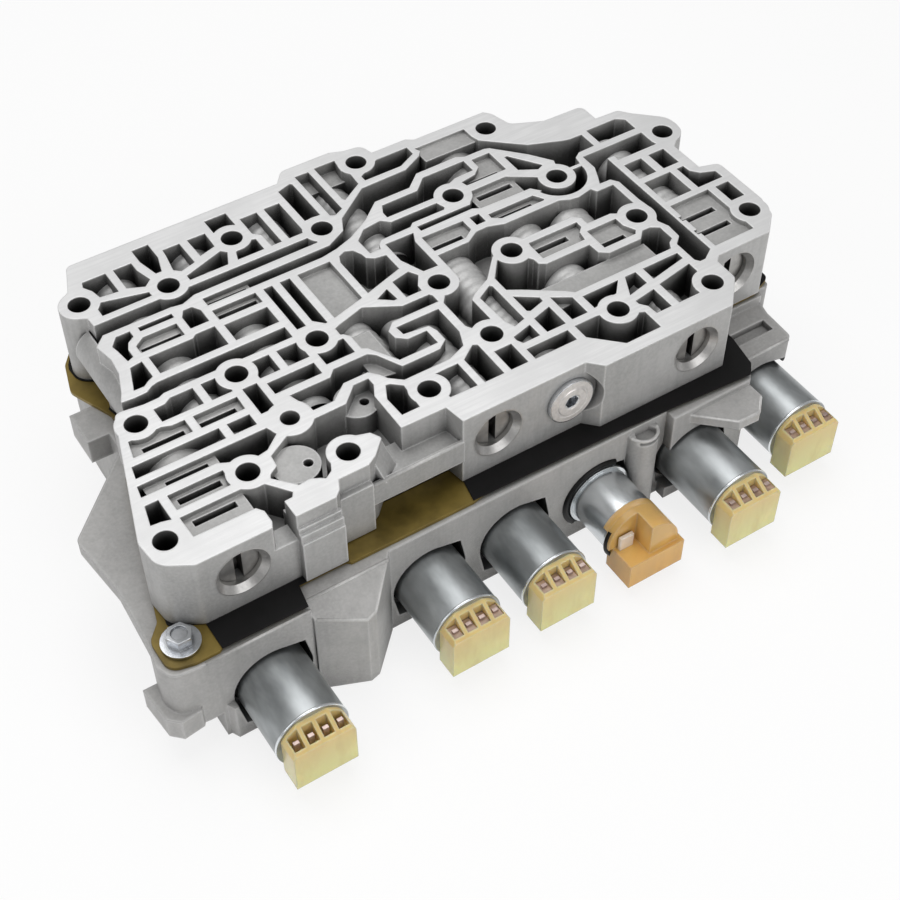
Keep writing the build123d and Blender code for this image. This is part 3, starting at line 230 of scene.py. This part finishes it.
def cast_metal(name, light, dark, cavity_shade, milled=None, metallic=0.45, edge=0.8 * MM,
               edge_highlight=(1.0, 1.0, 0.995)):
    """Cast aluminium with clouds, pits, scuffs, painted shade in its cavities, a painted highlight along
    convex edges and perhaps a milled top.
    """
    shader = Shader(name, 0.5, metallic)
    body = shader.veil(dark, shader.noise(CLOUDS), light, 1.0, 0.35, 0.65)
    body = shader.veil(body, shader.noise(SPARKLE, 2.0), scaled(light, 1.25), 0.3, 0.35, 0.65)
    body = shader.veil(body, shader.noise(PITS, 3.0), scaled(dark, 0.8), 0.25, 0.5, 0.7)
    scuffs = shader.noise(SCUFFS, 3.0, stretch=SCUFF_STRETCH)
    body = shader.veil(body, scuffs, scaled(dark, 0.8), 0.3, 0.5, 0.75)
    # Painted shade: walls and floors darken toward the shade colour where near walls close them in.
    openness = shader.openness(FLOOR_REACH)
    upward = shader.level(shader.axis(shader.geometry.outputs["Normal"], "Z"), 0.0, 1.0, 0.1, 0.6)
    walls = shader.veil(scaled(cavity_shade, WALL_SHADE_SHARE), shader.openness(WALL_REACH), body, 1.0, 0.13, 0.46)
    floors = shader.veil(cavity_shade, openness, body, 1.0, 0.1, 0.55)
    body = shader.mix(upward, walls, floors)
    roughness = shader.level(shader.noise(DULL_SPOTS), 0.42, 0.6)
    if milled:
        body, roughness = milled_face(shader, body, roughness, milled)
    # Painted highlight: a lighter colour along convex edges that stand in the open.
    if edge > 0:
        edges = shader.painted_edge_highlight(edge * HIGHLIGHT_WIDTH, 0.88, 0.98)
        open_share = shader.level(openness, 0.0, 0.65, 0.45, 0.7)
        body = shader.mix(shader.calculate("MULTIPLY", edges, open_share), body, edge_highlight)
    shader.colour(body)
    shader.rough(roughness)
    shader.bump(shader.noise(GRAIN, 2.0), 0.3, GRAIN_HEIGHT, edge)
    return shader.material


def plated(name, light, dark, roughness=0.3, metallic=1.0, scale=200.0, stretch=(1, 1, 1), edge=0.3 * MM,
           specular=0.5, reach=0.0):
    """Metal or coating with cloudy tone; with a reach, painted shade darkens its slots and gaps."""
    shader = Shader(name, roughness, metallic, specular)
    tone = shader.veil(dark, shader.noise(scale, stretch=stretch), light, 1.0, 0.35, 0.65)
    # Painted shade: the tone fades to near black where walls within the reach close it in.
    if reach > 0:
        tone = shader.veil((0.01, 0.01, 0.01), shader.openness(reach), tone, 1.0, 0.25, 0.8)
    shader.colour(tone)
    shader.rough(shader.level(shader.noise(scale * 2, stretch=stretch), roughness * 0.8, roughness * 1.3))
    shader.bump(shader.noise(scale * 6), 0.12, 0.08 * MM, edge)
    return shader.material


def nylon(name, low_colour, high_colour, edge_highlight_colour, low_z, high_z):
    """Translucent plastic, one tint at the bottom, another at the top and a painted highlight along its
    edges.
    """
    shader = Shader(name, 0.2)
    height = shader.axis(shader.geometry.outputs["Position"], "Z")
    tint = shader.veil(low_colour, height, high_colour, 1.0, low_z, high_z)
    inside = shader.noise(150.0, stretch=(1.0, 1.0, 0.3))
    tint = shader.veil(tint, inside, scaled(high_colour, 0.8), 0.5, 0.45, 0.75)
    # Painted highlight: the edge colour laid along convex edges.
    shader.colour(shader.veil(tint, shader.painted_edge_highlight(1.1 * MM, 0.86, 0.99), edge_highlight_colour, 0.7))
    shader.rough(shader.level(shader.noise(90.0), 0.12, 0.3))
    shader.fix("Subsurface Weight", 0.4)
    shader.fix("Subsurface Radius", (5 * MM, 4 * MM, 1.5 * MM))
    shader.fix("Transmission Weight", 0.3)
    shader.fix("IOR", 1.45)
    shader.bump(shader.noise(120.0, 1.0), 0.08, 0.2 * MM, 0.8 * MM)
    return shader.material


# The third colour of each casting is the painted shade of its cavities.
CAST_UPPER = cast_metal(
    "upper_casting", (0.46, 0.457, 0.45), (0.37, 0.368, 0.362), (0.13, 0.13, 0.13),
    milled=(0.81, 0.81, 0.81))
CAST_LOWER = cast_metal(
    "lower_casting", (0.43, 0.424, 0.415), (0.35, 0.345, 0.338), (0.08, 0.079, 0.077),
    metallic=0.2, edge=1.2 * MM, edge_highlight=(0.72, 0.715, 0.71))
# Lighter copy of the lower casting's colour: a painted highlight on the raised lips.
LIP_HIGHLIGHT = cast_metal(
    "lip_highlight", (0.58, 0.575, 0.565), (0.46, 0.455, 0.445), (0.3, 0.3, 0.3), edge=0.0)
# Lighter copy of the cast colour for the barrels: painted light on them, against the shade of the
# channels.
LIT_BARREL_CASTING = cast_metal(
    "cast_barrel", (0.68, 0.677, 0.67), (0.52, 0.518, 0.512), (0.3, 0.3, 0.3), metallic=0.3, edge=0.0)
# Near-black cast colour for the sleeves in the bolt holes: painted shade.
HOLE_SHADE = cast_metal(
    "shaded_hole_sleeve", (0.16, 0.16, 0.158), (0.11, 0.11, 0.108), (0.02, 0.02, 0.02), metallic=0.2, edge=0.0)
TURNED = plated(
    "turned", (0.5, 0.49, 0.48), (0.42, 0.415, 0.405), roughness=0.36, metallic=0.8, scale=900.0, edge=0.0)
TURNED_FACE = plated(
    "turned_face", (0.74, 0.71, 0.69), (0.62, 0.595, 0.58), roughness=0.36, metallic=0.5, scale=700.0,
    edge=0.0)
BRIGHT_CONTACT = plated(
    "bright_contact", (0.95, 0.96, 0.98), (0.84, 0.85, 0.87), roughness=0.25, metallic=0.5, scale=40.0)
BLACK = plated(
    "black_ring", (0.006, 0.006, 0.006), (0.003, 0.003, 0.003), roughness=0.4, metallic=0.0, specular=0.2)
CONTACT_BLOCK = plated(
    "contact_block", (0.5, 0.36, 0.27), (0.3, 0.2, 0.14), roughness=0.3, metallic=0.0, scale=300.0)
GASKET = plated(
    "gasket", (0.005, 0.0045, 0.005), (0.003, 0.003, 0.003), roughness=0.5, metallic=0.0, specular=0.2)
SEPARATOR_PLATE = plated(
    "separator_plate", (0.24, 0.17, 0.035), (0.1, 0.07, 0.014), roughness=0.38, metallic=0.4, scale=45.0)
ZINC_STEEL = plated("zinc_steel", (0.8, 0.82, 0.85), (0.6, 0.62, 0.65), roughness=0.22, reach=2.5 * MM)
SPOOL_ALUMINIUM = plated("spool_aluminium", (0.5, 0.5, 0.5), (0.4, 0.4, 0.4), roughness=0.25)
SPRING_STEEL = plated("spring_steel", (0.2, 0.2, 0.2), (0.1, 0.1, 0.1), roughness=0.3)
PLUG_ALUMINIUM = plated(
    "plug_aluminium", (0.5, 0.49, 0.47), (0.36, 0.35, 0.34), roughness=0.33, reach=4.0 * MM)
SOLENOID_CAN = plated(
    "solenoid_can", (0.54, 0.565, 0.575), (0.27, 0.285, 0.29), roughness=0.38, metallic=0.9, scale=55.0,
    stretch=(1, 0.4, 1))
BRIGHT_CAN = plated(
    "bright_can", (0.88, 0.91, 0.93), (0.62, 0.65, 0.67), roughness=0.24, metallic=0.92, scale=40.0,
    stretch=(1, 0.6, 1))
# The third colour of each plastic is the painted highlight along its edges.
YELLOW_PLASTIC = nylon(
    "yellow_plastic", (1.0, 0.93, 0.42), (0.97, 0.73, 0.32), (1.0, 0.96, 0.64),
    low_z=-70 * MM, high_z=-53 * MM)
AMBER_PLASTIC = nylon(
    "amber_plastic", (0.9, 0.52, 0.13), (0.86, 0.54, 0.18), (0.98, 0.7, 0.38),
    low_z=-72 * MM, high_z=-56 * MM)
TERMINAL = plated("terminal", (0.62, 0.5, 0.46), (0.4, 0.3, 0.27), roughness=0.35, metallic=0.6)

MATERIALS = {
    "upper_casting": CAST_UPPER,
    "lower_casting": CAST_LOWER,
    "gasket": GASKET,
    "separator_plate": SEPARATOR_PLATE,
    "zinc_steel": ZINC_STEEL,
    "spool_aluminium": SPOOL_ALUMINIUM,
    "spring_steel": SPRING_STEEL,
    "plug_aluminium": PLUG_ALUMINIUM,
    "solenoid_can": SOLENOID_CAN,
    "bright_can": BRIGHT_CAN,
    "yellow_plastic": YELLOW_PLASTIC,
    "amber_plastic": AMBER_PLASTIC,
    "terminal": TERMINAL,
}


def dress_solids():
    """Give each CAD node the material of its slot; the blade of the slim solenoid is bright."""
    for part in frame["record"]["subparts"]:
        mesh = nodes[part["node"]].data
        mesh.materials.clear()
        mesh.materials.append(MATERIALS[part["material_slot"]])
    nodes["solenoid_terminals_4"].data.materials[0] = BRIGHT_CONTACT


# Tools for shapes, all in mm

def box_of(name):
    """Low and high corner of the box round a CAD node."""
    node = nodes[name]
    places = [node.matrix_world @ vert.co for vert in node.data.vertices]
    low = Vector([min(place[axis] for place in places) / MM for axis in range(3)])
    high = Vector([max(place[axis] for place in places) / MM for axis in range(3)])
    return low, high


def piece(name, mesh, material, smooth=True):
    """Hang a finished bmesh on the valve body as one piece."""
    data = bpy.data.meshes.new(name)
    mesh.to_mesh(data)
    mesh.free()
    for face in data.polygons:
        face.use_smooth = smooth
    data.materials.append(material)
    thing = bpy.data.objects.new(name, data)
    bpy.context.scene.collection.objects.link(thing)
    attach(thing, "valve_body")


def arc(steps, start=0.0, turn=2 * pi):
    """Angles at equal steps; a full turn leaves out its last, which is its first again."""
    count = steps if turn == 2 * pi else steps + 1
    return [start + turn * step / steps for step in range(count)]


def point(mesh, x, y, z):
    """Add one point."""
    return mesh.verts.new((x * MM, y * MM, z * MM))


def skin(mesh, rows, closed=True, flip=False):
    """Join rows of points by faces; flip turns the faces over."""
    for lower, upper in zip(rows, rows[1:]):
        count = len(lower)
        for step in range(count if closed else count - 1):
            after = (step + 1) % count
            if flip:
                mesh.faces.new((lower[step], upper[step], upper[after], lower[after]))
            else:
                mesh.faces.new((lower[step], lower[after], upper[after], upper[step]))


def lathe(mesh, x, z, profile, steps=64, start=0.0, turn=2 * pi, sharp=False):
    """Add a surface turned round an axis along Y; profile rows are y and radius."""
    angles = arc(steps, start, turn)
    closed = len(angles) == steps

    def ring(y, radius):
        return [point(mesh, x + radius * cos(a), y, z + radius * sin(a)) for a in angles]

    if sharp:
        for places in zip(profile, profile[1:]):
            skin(mesh, [ring(*place) for place in places], closed)
    else:
        skin(mesh, [ring(*place) for place in profile], closed)


def bead(name, path, radius, material, sides=8):
    """Raised line along a path of points."""
    mesh = bmesh.new()
    rows = []
    points = [Vector(place) for place in path]
    for index, centre in enumerate(points):
        ahead = (points[min(index + 1, len(points) - 1)] - points[max(index - 1, 0)]).normalized()
        across = ahead.cross(Vector((0, 0, 1))).normalized()
        up = across.cross(ahead)
        spots = [centre + (across * cos(a) + up * sin(a)) * radius for a in arc(sides)]
        rows.append([point(mesh, *spot) for spot in spots])
    skin(mesh, rows)
    mesh.faces.new(rows[0])
    mesh.faces.new(reversed(rows[-1]))
    piece(name, mesh, material)


def block(mesh, low, high):
    """Add a closed box between two corners."""
    made = bmesh.ops.create_cube(mesh, size=1.0)["verts"]
    for vert in made:
        vert.co = Vector([(a + (b - a) * (c + 0.5)) * MM for a, b, c in zip(low, high, vert.co)])


# Barrels of the valve bores, seen in the channels: axis x, front y, rear y
BORE_AXIS = -15.0
BARREL_LINES = (
    (-20.0, 5.0, 112.0), (11.5, 5.0, 112.0), (43.5, 5.0, 112.0), (64.5, -31.0, 40.0), (76.0, 58.0, 118.0),
    (95.5, -31.0, 56.0), (129.5, 2.0, 46.0), (150.5, -31.0, 44.0), (188.0, 20.0, 72.0),
)
BARREL_RADIUS = 9.4
BARREL_FLOOR = -16.2
BARREL_FOOT = 2.2
FOOT_RISE = 0.5
ARCH_STEPS = 24
RING_LENGTH = 0.8
BARREL_WAIST = 0.99
BARREL_WAVE = 0.02
WAVE_PACE = 0.33
BARREL_RIBS = 0.05
RIB_PACE = 0.75


def barrel_section():
    """Arch of a cast barrel with a flared foot on each side, as x and z from its axis."""
    floor = BARREL_FLOOR - BORE_AXIS
    foot = [(BARREL_RADIUS + BARREL_FOOT, floor), (BARREL_RADIUS + BARREL_FOOT * 0.4, floor + FOOT_RISE)]
    arch = [(BARREL_RADIUS * cos(a), BARREL_RADIUS * sin(a)) for a in arc(ARCH_STEPS, turn=pi)]
    return foot + arch + [(-x, z) for x, z in reversed(foot)]


def barrel_swell(x, y):
    """Size of a cast barrel along its length: a slow wave and short ribs, shifted from bore to bore."""
    wave = BARREL_WAVE * sin(y * WAVE_PACE + x)
    ribs = BARREL_RIBS * abs(sin(y * RIB_PACE + x * 0.7))
    return BARREL_WAIST + wave + ribs


def cast_barrels():
    section = barrel_section()
    for index, (x, start, end) in enumerate(BARREL_LINES):
        mesh = bmesh.new()
        rings = int((end - start) / RING_LENGTH)
        rows = []
        for ring in range(rings + 1):
            y = start + (end - start) * ring / rings
            swell = barrel_swell(x, y)
            rows.append([point(mesh, x + a * swell, y, BORE_AXIS + b * swell) for a, b in section])
        skin(mesh, rows, closed=False, flip=True)
        piece("cast_barrel_%d" % index, mesh, LIT_BARREL_CASTING)


# Turned lead-ins of the bore mouths: axis x, wall y, radius, and +1 where the mouth opens to the rear
MOUTHS = (
    (-41.0, -39.8, 8.0, -1), (188.0, -15.0, 8.5, -1), (64.5, -34.0, 8.0, -1), (150.5, -39.3, 8.0, -1),
    (129.5, 108.7, 8.0, 1), (-20.0, 114.3, 8.0, 1), (11.5, 114.3, 8.0, 1), (43.5, 114.3, 8.0, 1),
    (76.0, 120.3, 8.0, 1),
)
CHAMFER = 2.2
MOUTH_BORDER = 0.5
PLUG_INSET = 4.0
SKIN = 0.03


def turned_mouths():
    for index, (x, wall, radius, side) in enumerate(MOUTHS):
        mesh = bmesh.new()
        profile = (
            (wall + side * SKIN, radius + CHAMFER + MOUTH_BORDER),
            (wall + side * SKIN, radius + CHAMFER - SKIN),
            (wall - side * CHAMFER, radius - SKIN),
            (wall - side * PLUG_INSET, radius - SKIN),
        )
        lathe(mesh, x, BORE_AXIS, profile, sharp=True)
        piece("turned_mouth_%d" % index, mesh, TURNED)


# Dark sleeves inside the bolt holes, painting the shade of walls which the light hardly reaches: axis x, y
BOLT_HOLES = (
    (-60.5, -25.5), (-46.0, 26.5), (-37.5, 92.5), (-5.0, 84.0), (27.5, 95.0), (59.5, 81.0),
    (27.5, 29.0), (-5.5, 29.0), (-24.0, -14.0), (9.0, -24.5), (91.5, 109.0), (148.0, 99.0),
    (208.0, 57.5), (206.0, -0.5), (166.5, 20.5), (167.0, -25.5), (128.5, -18.0), (114.0, 30.5),
    (113.0, 70.0), (154.5, 57.5), (81.0, 30.5), (82.0, -3.5), (48.0, -14.5),
)
BOLT_HOLE_RADIUS = 4.25
WALL_TOP = -0.35
WALL_FOOT = -24.0
ROUND_STEPS = 48


def shaded_hole_sleeves():
    radius = BOLT_HOLE_RADIUS - SKIN
    mesh = bmesh.new()
    for x, y in BOLT_HOLES:
        circle = [(x + radius * cos(a), y + radius * sin(a)) for a in arc(ROUND_STEPS)]
        rows = [[point(mesh, *place, z) for place in circle] for z in (WALL_TOP, WALL_FOOT)]
        skin(mesh, rows, flip=True)
    piece("shaded_hole_sleeves", mesh, HOLE_SHADE)


# Turned face of the headed screw plug: y from the face of its head, and radius
SCREW_FACE = (
    (0.6, 9.65), (-0.15, 9.1), (-0.15, 7.2), (-0.02, 6.9),
    (-0.02, 6.3), (-0.35, 5.9), (-0.35, 3.6), (-0.02, 3.1),
)


def screw_plug_face():
    low, high = box_of("screw_plug")
    mesh = bmesh.new()
    profile = [(low.y + y, radius) for y, radius in SCREW_FACE]
    lathe(mesh, (low.x + high.x) / 2, BORE_AXIS, profile, sharp=True)
    piece("screw_plug_face", mesh, TURNED_FACE)


# Solenoid cans: their axis height and their radii; the slim one has a wider collar at its pocket
CAN_AXIS = -61.0
CAN_RADIUS = 14.0
SLIM_RADIUS = 12.2
SLIM_COLLAR_RADIUS = 13.5
SLIM_NUMBER = 4
RIM_RADIUS = 0.45
RIM_WIDTH = 0.6
RIM_SINK = 0.2
RIM_STEPS = 8


def can_place(number):
    """Axis x, rim y and radius of a solenoid can, from its CAD node."""
    low, high = box_of("solenoid_can_%d" % number)
    if number == SLIM_NUMBER:
        return high.x - SLIM_COLLAR_RADIUS, low.y, SLIM_RADIUS
    return high.x - CAN_RADIUS, low.y, CAN_RADIUS


CANS = [can_place(number) for number in range(1, 7)]
SLIM_X, SLIM_RIM, _ = CANS[SLIM_NUMBER - 1]


def can_rims():
    """Rolled rims of the cans, whose bright can metal paints a highlight along them."""
    for index, (x, rim, radius) in enumerate(CANS):
        mesh = bmesh.new()
        rolled = []
        for angle in arc(RIM_STEPS, turn=pi):
            y = rim + RIM_WIDTH - RIM_WIDTH * cos(angle)
            rolled.append((y, radius - RIM_SINK + RIM_RADIUS * sin(angle)))
        lathe(mesh, x, CAN_AXIS, rolled)
        # The bright can metal on these rims paints a highlight along them.
        piece("can_rim_%d" % index, mesh, BRIGHT_CAN)


# Slim solenoid: wall of its pocket, then y from that wall or from the rim, and radius
SLIM_WALL = -45.5
POCKET_SEAL = ((0.2, 16.3), (-0.9, 15.9), (-1.2, 15.2), (-1.1, 14.2), (0.2, 13.6))
SEAL_PLACE = -0.6
SEAL_DEPTH = 1.3
SEAL_HEIGHT = 1.2
HOOD_SLEEVE = ((0.0, 12.6), (2.6, 12.6), (2.9, 12.3), (2.9, 12.25))


def slim_band(name, profile, steps, start, turn, material):
    """Band round part of the slim can; its start and turn are in degrees."""
    mesh = bmesh.new()
    lathe(mesh, SLIM_X, CAN_AXIS, profile, steps, radians(start), radians(turn))
    piece(name, mesh, material)


def slim_bands():
    """Black ring round the pocket, sealing ring at the left and hood sleeve over the rim."""
    pocket = [(SLIM_WALL + y, radius) for y, radius in POCKET_SEAL]
    slim_band("pocket_seal", pocket, 48, 62, 160, BLACK)
    seal = []
    for angle in arc(RIM_STEPS, turn=pi):
        y = SLIM_RIM + SEAL_PLACE - SEAL_DEPTH * sin(angle)
        seal.append((y, SLIM_RADIUS + SEAL_HEIGHT * cos(angle)))
    slim_band("black_seal", seal, 32, 150, 110, BLACK)
    sleeve = [(SLIM_RIM + y, radius) for y, radius in HOOD_SLEEVE]
    slim_band("hood_sleeve", sleeve, 40, -5, 160, AMBER_PLASTIC)


# Blocks that hold the contact blades in the windows of connectors 2, 3, 5 and 6
BLOCK_NUMBERS = (2, 3, 5, 6)
WINDOW_OFFSETS = (-8.4, -2.8, 2.8, 8.4)
BLOCK_HALF = 1.85
BLOCK_FRONT = -7.2
BLOCK_BACK = -1.8
BLOCK_FLOOR = -57.95
BLOCK_TOP = -53.6


def contact_blocks():
    for number in BLOCK_NUMBERS:
        x, rim, _ = CANS[number - 1]
        mesh = bmesh.new()
        for offset in WINDOW_OFFSETS:
            low = (x + offset - BLOCK_HALF, rim + BLOCK_FRONT, BLOCK_FLOOR)
            high = (x + offset + BLOCK_HALF, rim + BLOCK_BACK, BLOCK_TOP)
            block(mesh, low, high)
        piece("contact_blocks_%d" % (number - 1), mesh, CONTACT_BLOCK, smooth=False)


# Raised lips along the cast edges, which catch the light, and whose lighter colour paints a highlight on
# them
LIP_RADIUS = 0.7
LIP_SINK = 0.45
RIB_CENTRE = (122.5, -45.5)
RIB_RADIUS = 6.0
RIB_TOP = -37.0
RIB_LIP = [
    (RIB_CENTRE[0] + RIB_RADIUS * cos(a), RIB_CENTRE[1] - RIB_RADIUS * sin(a), RIB_TOP)
    for a in arc(12, turn=pi)[1:-1]
]
LIPS = (
    ((-64.0, -52.5, -34.0), (-24.3, -52.5, -34.0)),
    ((-24.0, -48.2, -34.0), (9.0, -48.2, -34.0)),
    ((-23.0, -53.9, -38.3), (-7.0, -60.5, -43.0), (-3.0, -59.4, -42.3), (9.0, -47.5, -34.0)),
    ((142.0, -49.4, -36.5), (155.5, -62.4, -36.5), (165.0, -62.7, -36.5), (170.5, -57.0, -36.5)),
    ((13.0, -34.0, -10.5), (49.0, -34.0, -10.5)),
    ((176.5, -37.5, -38.0), (201.5, -37.5, -38.0)),
    RIB_LIP,
)


def lip_highlights():
    for index, path in enumerate(LIPS):
        sunk = [(x, y, z - LIP_SINK) for x, y, z in path]
        bead("cast_lip_%d" % index, sunk, LIP_RADIUS, LIP_HIGHLIGHT)


# Bolts that hold the lower housing, sunk in recesses of the underside: x, y
RECESS_FLOOR = -56.0
SUNK_BOLTS = (
    (-44.5, 14.5), (17.5, 14.5), (79.5, 14.5), (141.5, 14.5), (-27.5, 45.5), (34.5, 45.5), (127.5, 45.5),
    (189.5, 45.5), (3.5, 76.5), (65.5, 76.5), (158.5, 76.5),
)
# Outline of a bolt head: depth below the floor of the recess, radius, and whether it is a hexagon
BOLT_HEAD = (
    (0.0, 7.0, False), (0.5, 7.0, False), (1.7, 5.4, False), (1.7, 4.75, True), (5.2, 4.75, True),
    (5.9, 4.1, True), (5.9, 3.3, False), (5.3, 2.9, False),
)


def hexagon(radius, angle):
    """Distance from the centre to the side of a hexagon with this corner radius."""
    wedge = (angle % (pi / 3)) - pi / 6
    return radius * cos(pi / 6) / cos(wedge)


def sunk_bolts():
    """Hexagon heads on a flange, pointing down from the floors of the recesses."""
    for index, (x, y) in enumerate(SUNK_BOLTS):
        mesh = bmesh.new()
        rows = []
        for drop, radius, is_hexagon in BOLT_HEAD:
            row = []
            for a in arc(ROUND_STEPS):
                reach = hexagon(radius, a) if is_hexagon else radius
                row.append(point(mesh, x + reach * cos(a), y + reach * sin(a), RECESS_FLOOR - drop))
            rows.append(row)
        skin(mesh, rows)
        mesh.faces.new(rows[-1])
        piece("sunk_bolt_%d" % index, mesh, ZINC_STEEL, smooth=False)


# Return springs, which shorten as their spools move: line, fixed end y
SPRINGS = (("a", -29.8), ("e", -5.0), ("k", 98.7))


def spring_coils():
    """Show each return spring by a copy of its mesh, in place of its hidden solid."""
    for line, fixed_end in SPRINGS:
        solid = nodes["return_spring_" + line]
        coil = bpy.data.objects.new("spring_coil_" + line, solid.data.copy())
        bpy.context.scene.collection.objects.link(coil)
        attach(coil, "valve_body")
        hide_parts(solid.name)
        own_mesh(coil)


# Camera, placed as the photograph was taken
CAMERA_PLACE = Vector((-0.1616, -0.3512, 0.4109))
CAMERA_RIGHT = Vector((0.8388, -0.5445, -0.0005))
CAMERA_DOWN = Vector((-0.4061, -0.6250, -0.6667))
CAMERA_AHEAD = Vector((0.3627, 0.5594, -0.7453))
CAMERA_LENS = 64.8
CAMERA_SENSOR = 36.0
CAMERA_NEAR = 0.01


def set_camera():
    data = bpy.data.cameras.new("camera")
    data.lens = CAMERA_LENS
    data.sensor_width = CAMERA_SENSOR
    data.clip_start = CAMERA_NEAR
    camera = bpy.data.objects.new("camera", data)
    bpy.context.scene.collection.objects.link(camera)
    turned = Matrix((CAMERA_RIGHT, -CAMERA_DOWN, -CAMERA_AHEAD)).transposed()
    camera.matrix_world = Matrix.Translation(CAMERA_PLACE) @ turned.to_4x4()
    bpy.context.scene.camera = camera


# Pale floor, which the camera sees as nearly white while it keeps the object's shadow
CENTRE = (0.07, 0.03, -0.04)
FLOOR_SIZE = 40.0
FLOOR_GAP = 0.2 * MM
FLOOR_CLOUDS = 3.0
SEEN_WHITE = 0.8


def floor_material():
    shader = Shader("floor", 0.6)
    shader.colour(shader.veil((0.97, 0.97, 0.97), shader.noise(FLOOR_CLOUDS), (0.99, 0.99, 0.99)))
    path = shader.node("ShaderNodeLightPath").outputs
    seen = shader.calculate("MAXIMUM", path["Is Camera Ray"], path["Is Glossy Ray"])
    seen = shader.calculate("MAXIMUM", seen, path["Is Transmission Ray"])
    share = shader.calculate("MULTIPLY", seen, SEEN_WHITE)
    white = shader.node("ShaderNodeEmission", values=(("Color", (1.0, 1.0, 1.0, 1.0)), ("Strength", 1.0)))
    blend = shader.node("ShaderNodeMixShader")
    shader.link(share, blend.inputs["Fac"])
    shader.link(shader.surface.outputs["BSDF"], blend.inputs[1])
    shader.link(white.outputs["Emission"], blend.inputs[2])
    shader.link(blend.outputs["Shader"], shader.tree.nodes["Material Output"].inputs["Surface"])
    return shader.material


def lay_floor():
    base_z = loaded_bounds[0][2]
    bpy.ops.mesh.primitive_plane_add(size=FLOOR_SIZE, location=(*CENTRE[:2], base_z - FLOOR_GAP))
    floor = bpy.context.object
    floor.name = "floor"
    floor.data.materials.append(floor_material())


# Soft studio light: name, place, size and power
LIGHTS = (
    ("overhead", (0.07, 0.28, 0.95), (0.9, 0.9), 5.7),
    ("left", (-0.9, -0.1, 0.6), (0.7, 0.7), 2.1),
    ("front", (0.25, -0.95, 0.45), (0.8, 0.6), 3.8),
)
WORLD_STRENGTH = 0.34


def area_light(name, place, size, power):
    """Rectangular lamp that looks at the centre of the object."""
    data = bpy.data.lights.new(name, "AREA")
    data.shape = "RECTANGLE"
    data.size, data.size_y = size
    data.energy = power
    light = bpy.data.objects.new(name, data)
    bpy.context.scene.collection.objects.link(light)
    light.location = place
    light.rotation_euler = (Vector(CENTRE) - Vector(place)).to_track_quat("-Z", "Y").to_euler()


def light_studio():
    for light in LIGHTS:
        area_light(*light)
    world = bpy.data.worlds.new("studio")
    bpy.context.scene.world = world
    world.use_nodes = True
    background = world.node_tree.nodes["Background"]
    background.inputs["Color"].default_value = (1.0, 1.0, 1.0, 1.0)
    background.inputs["Strength"].default_value = WORLD_STRENGTH
    bpy.context.scene.view_settings.view_transform = "Standard"


dress_solids()
cast_barrels()
turned_mouths()
shaded_hole_sleeves()
screw_plug_face()
can_rims()
slim_bands()
contact_blocks()
lip_highlights()
sunk_bolts()
spring_coils()
set_camera()
lay_floor()
light_studio()
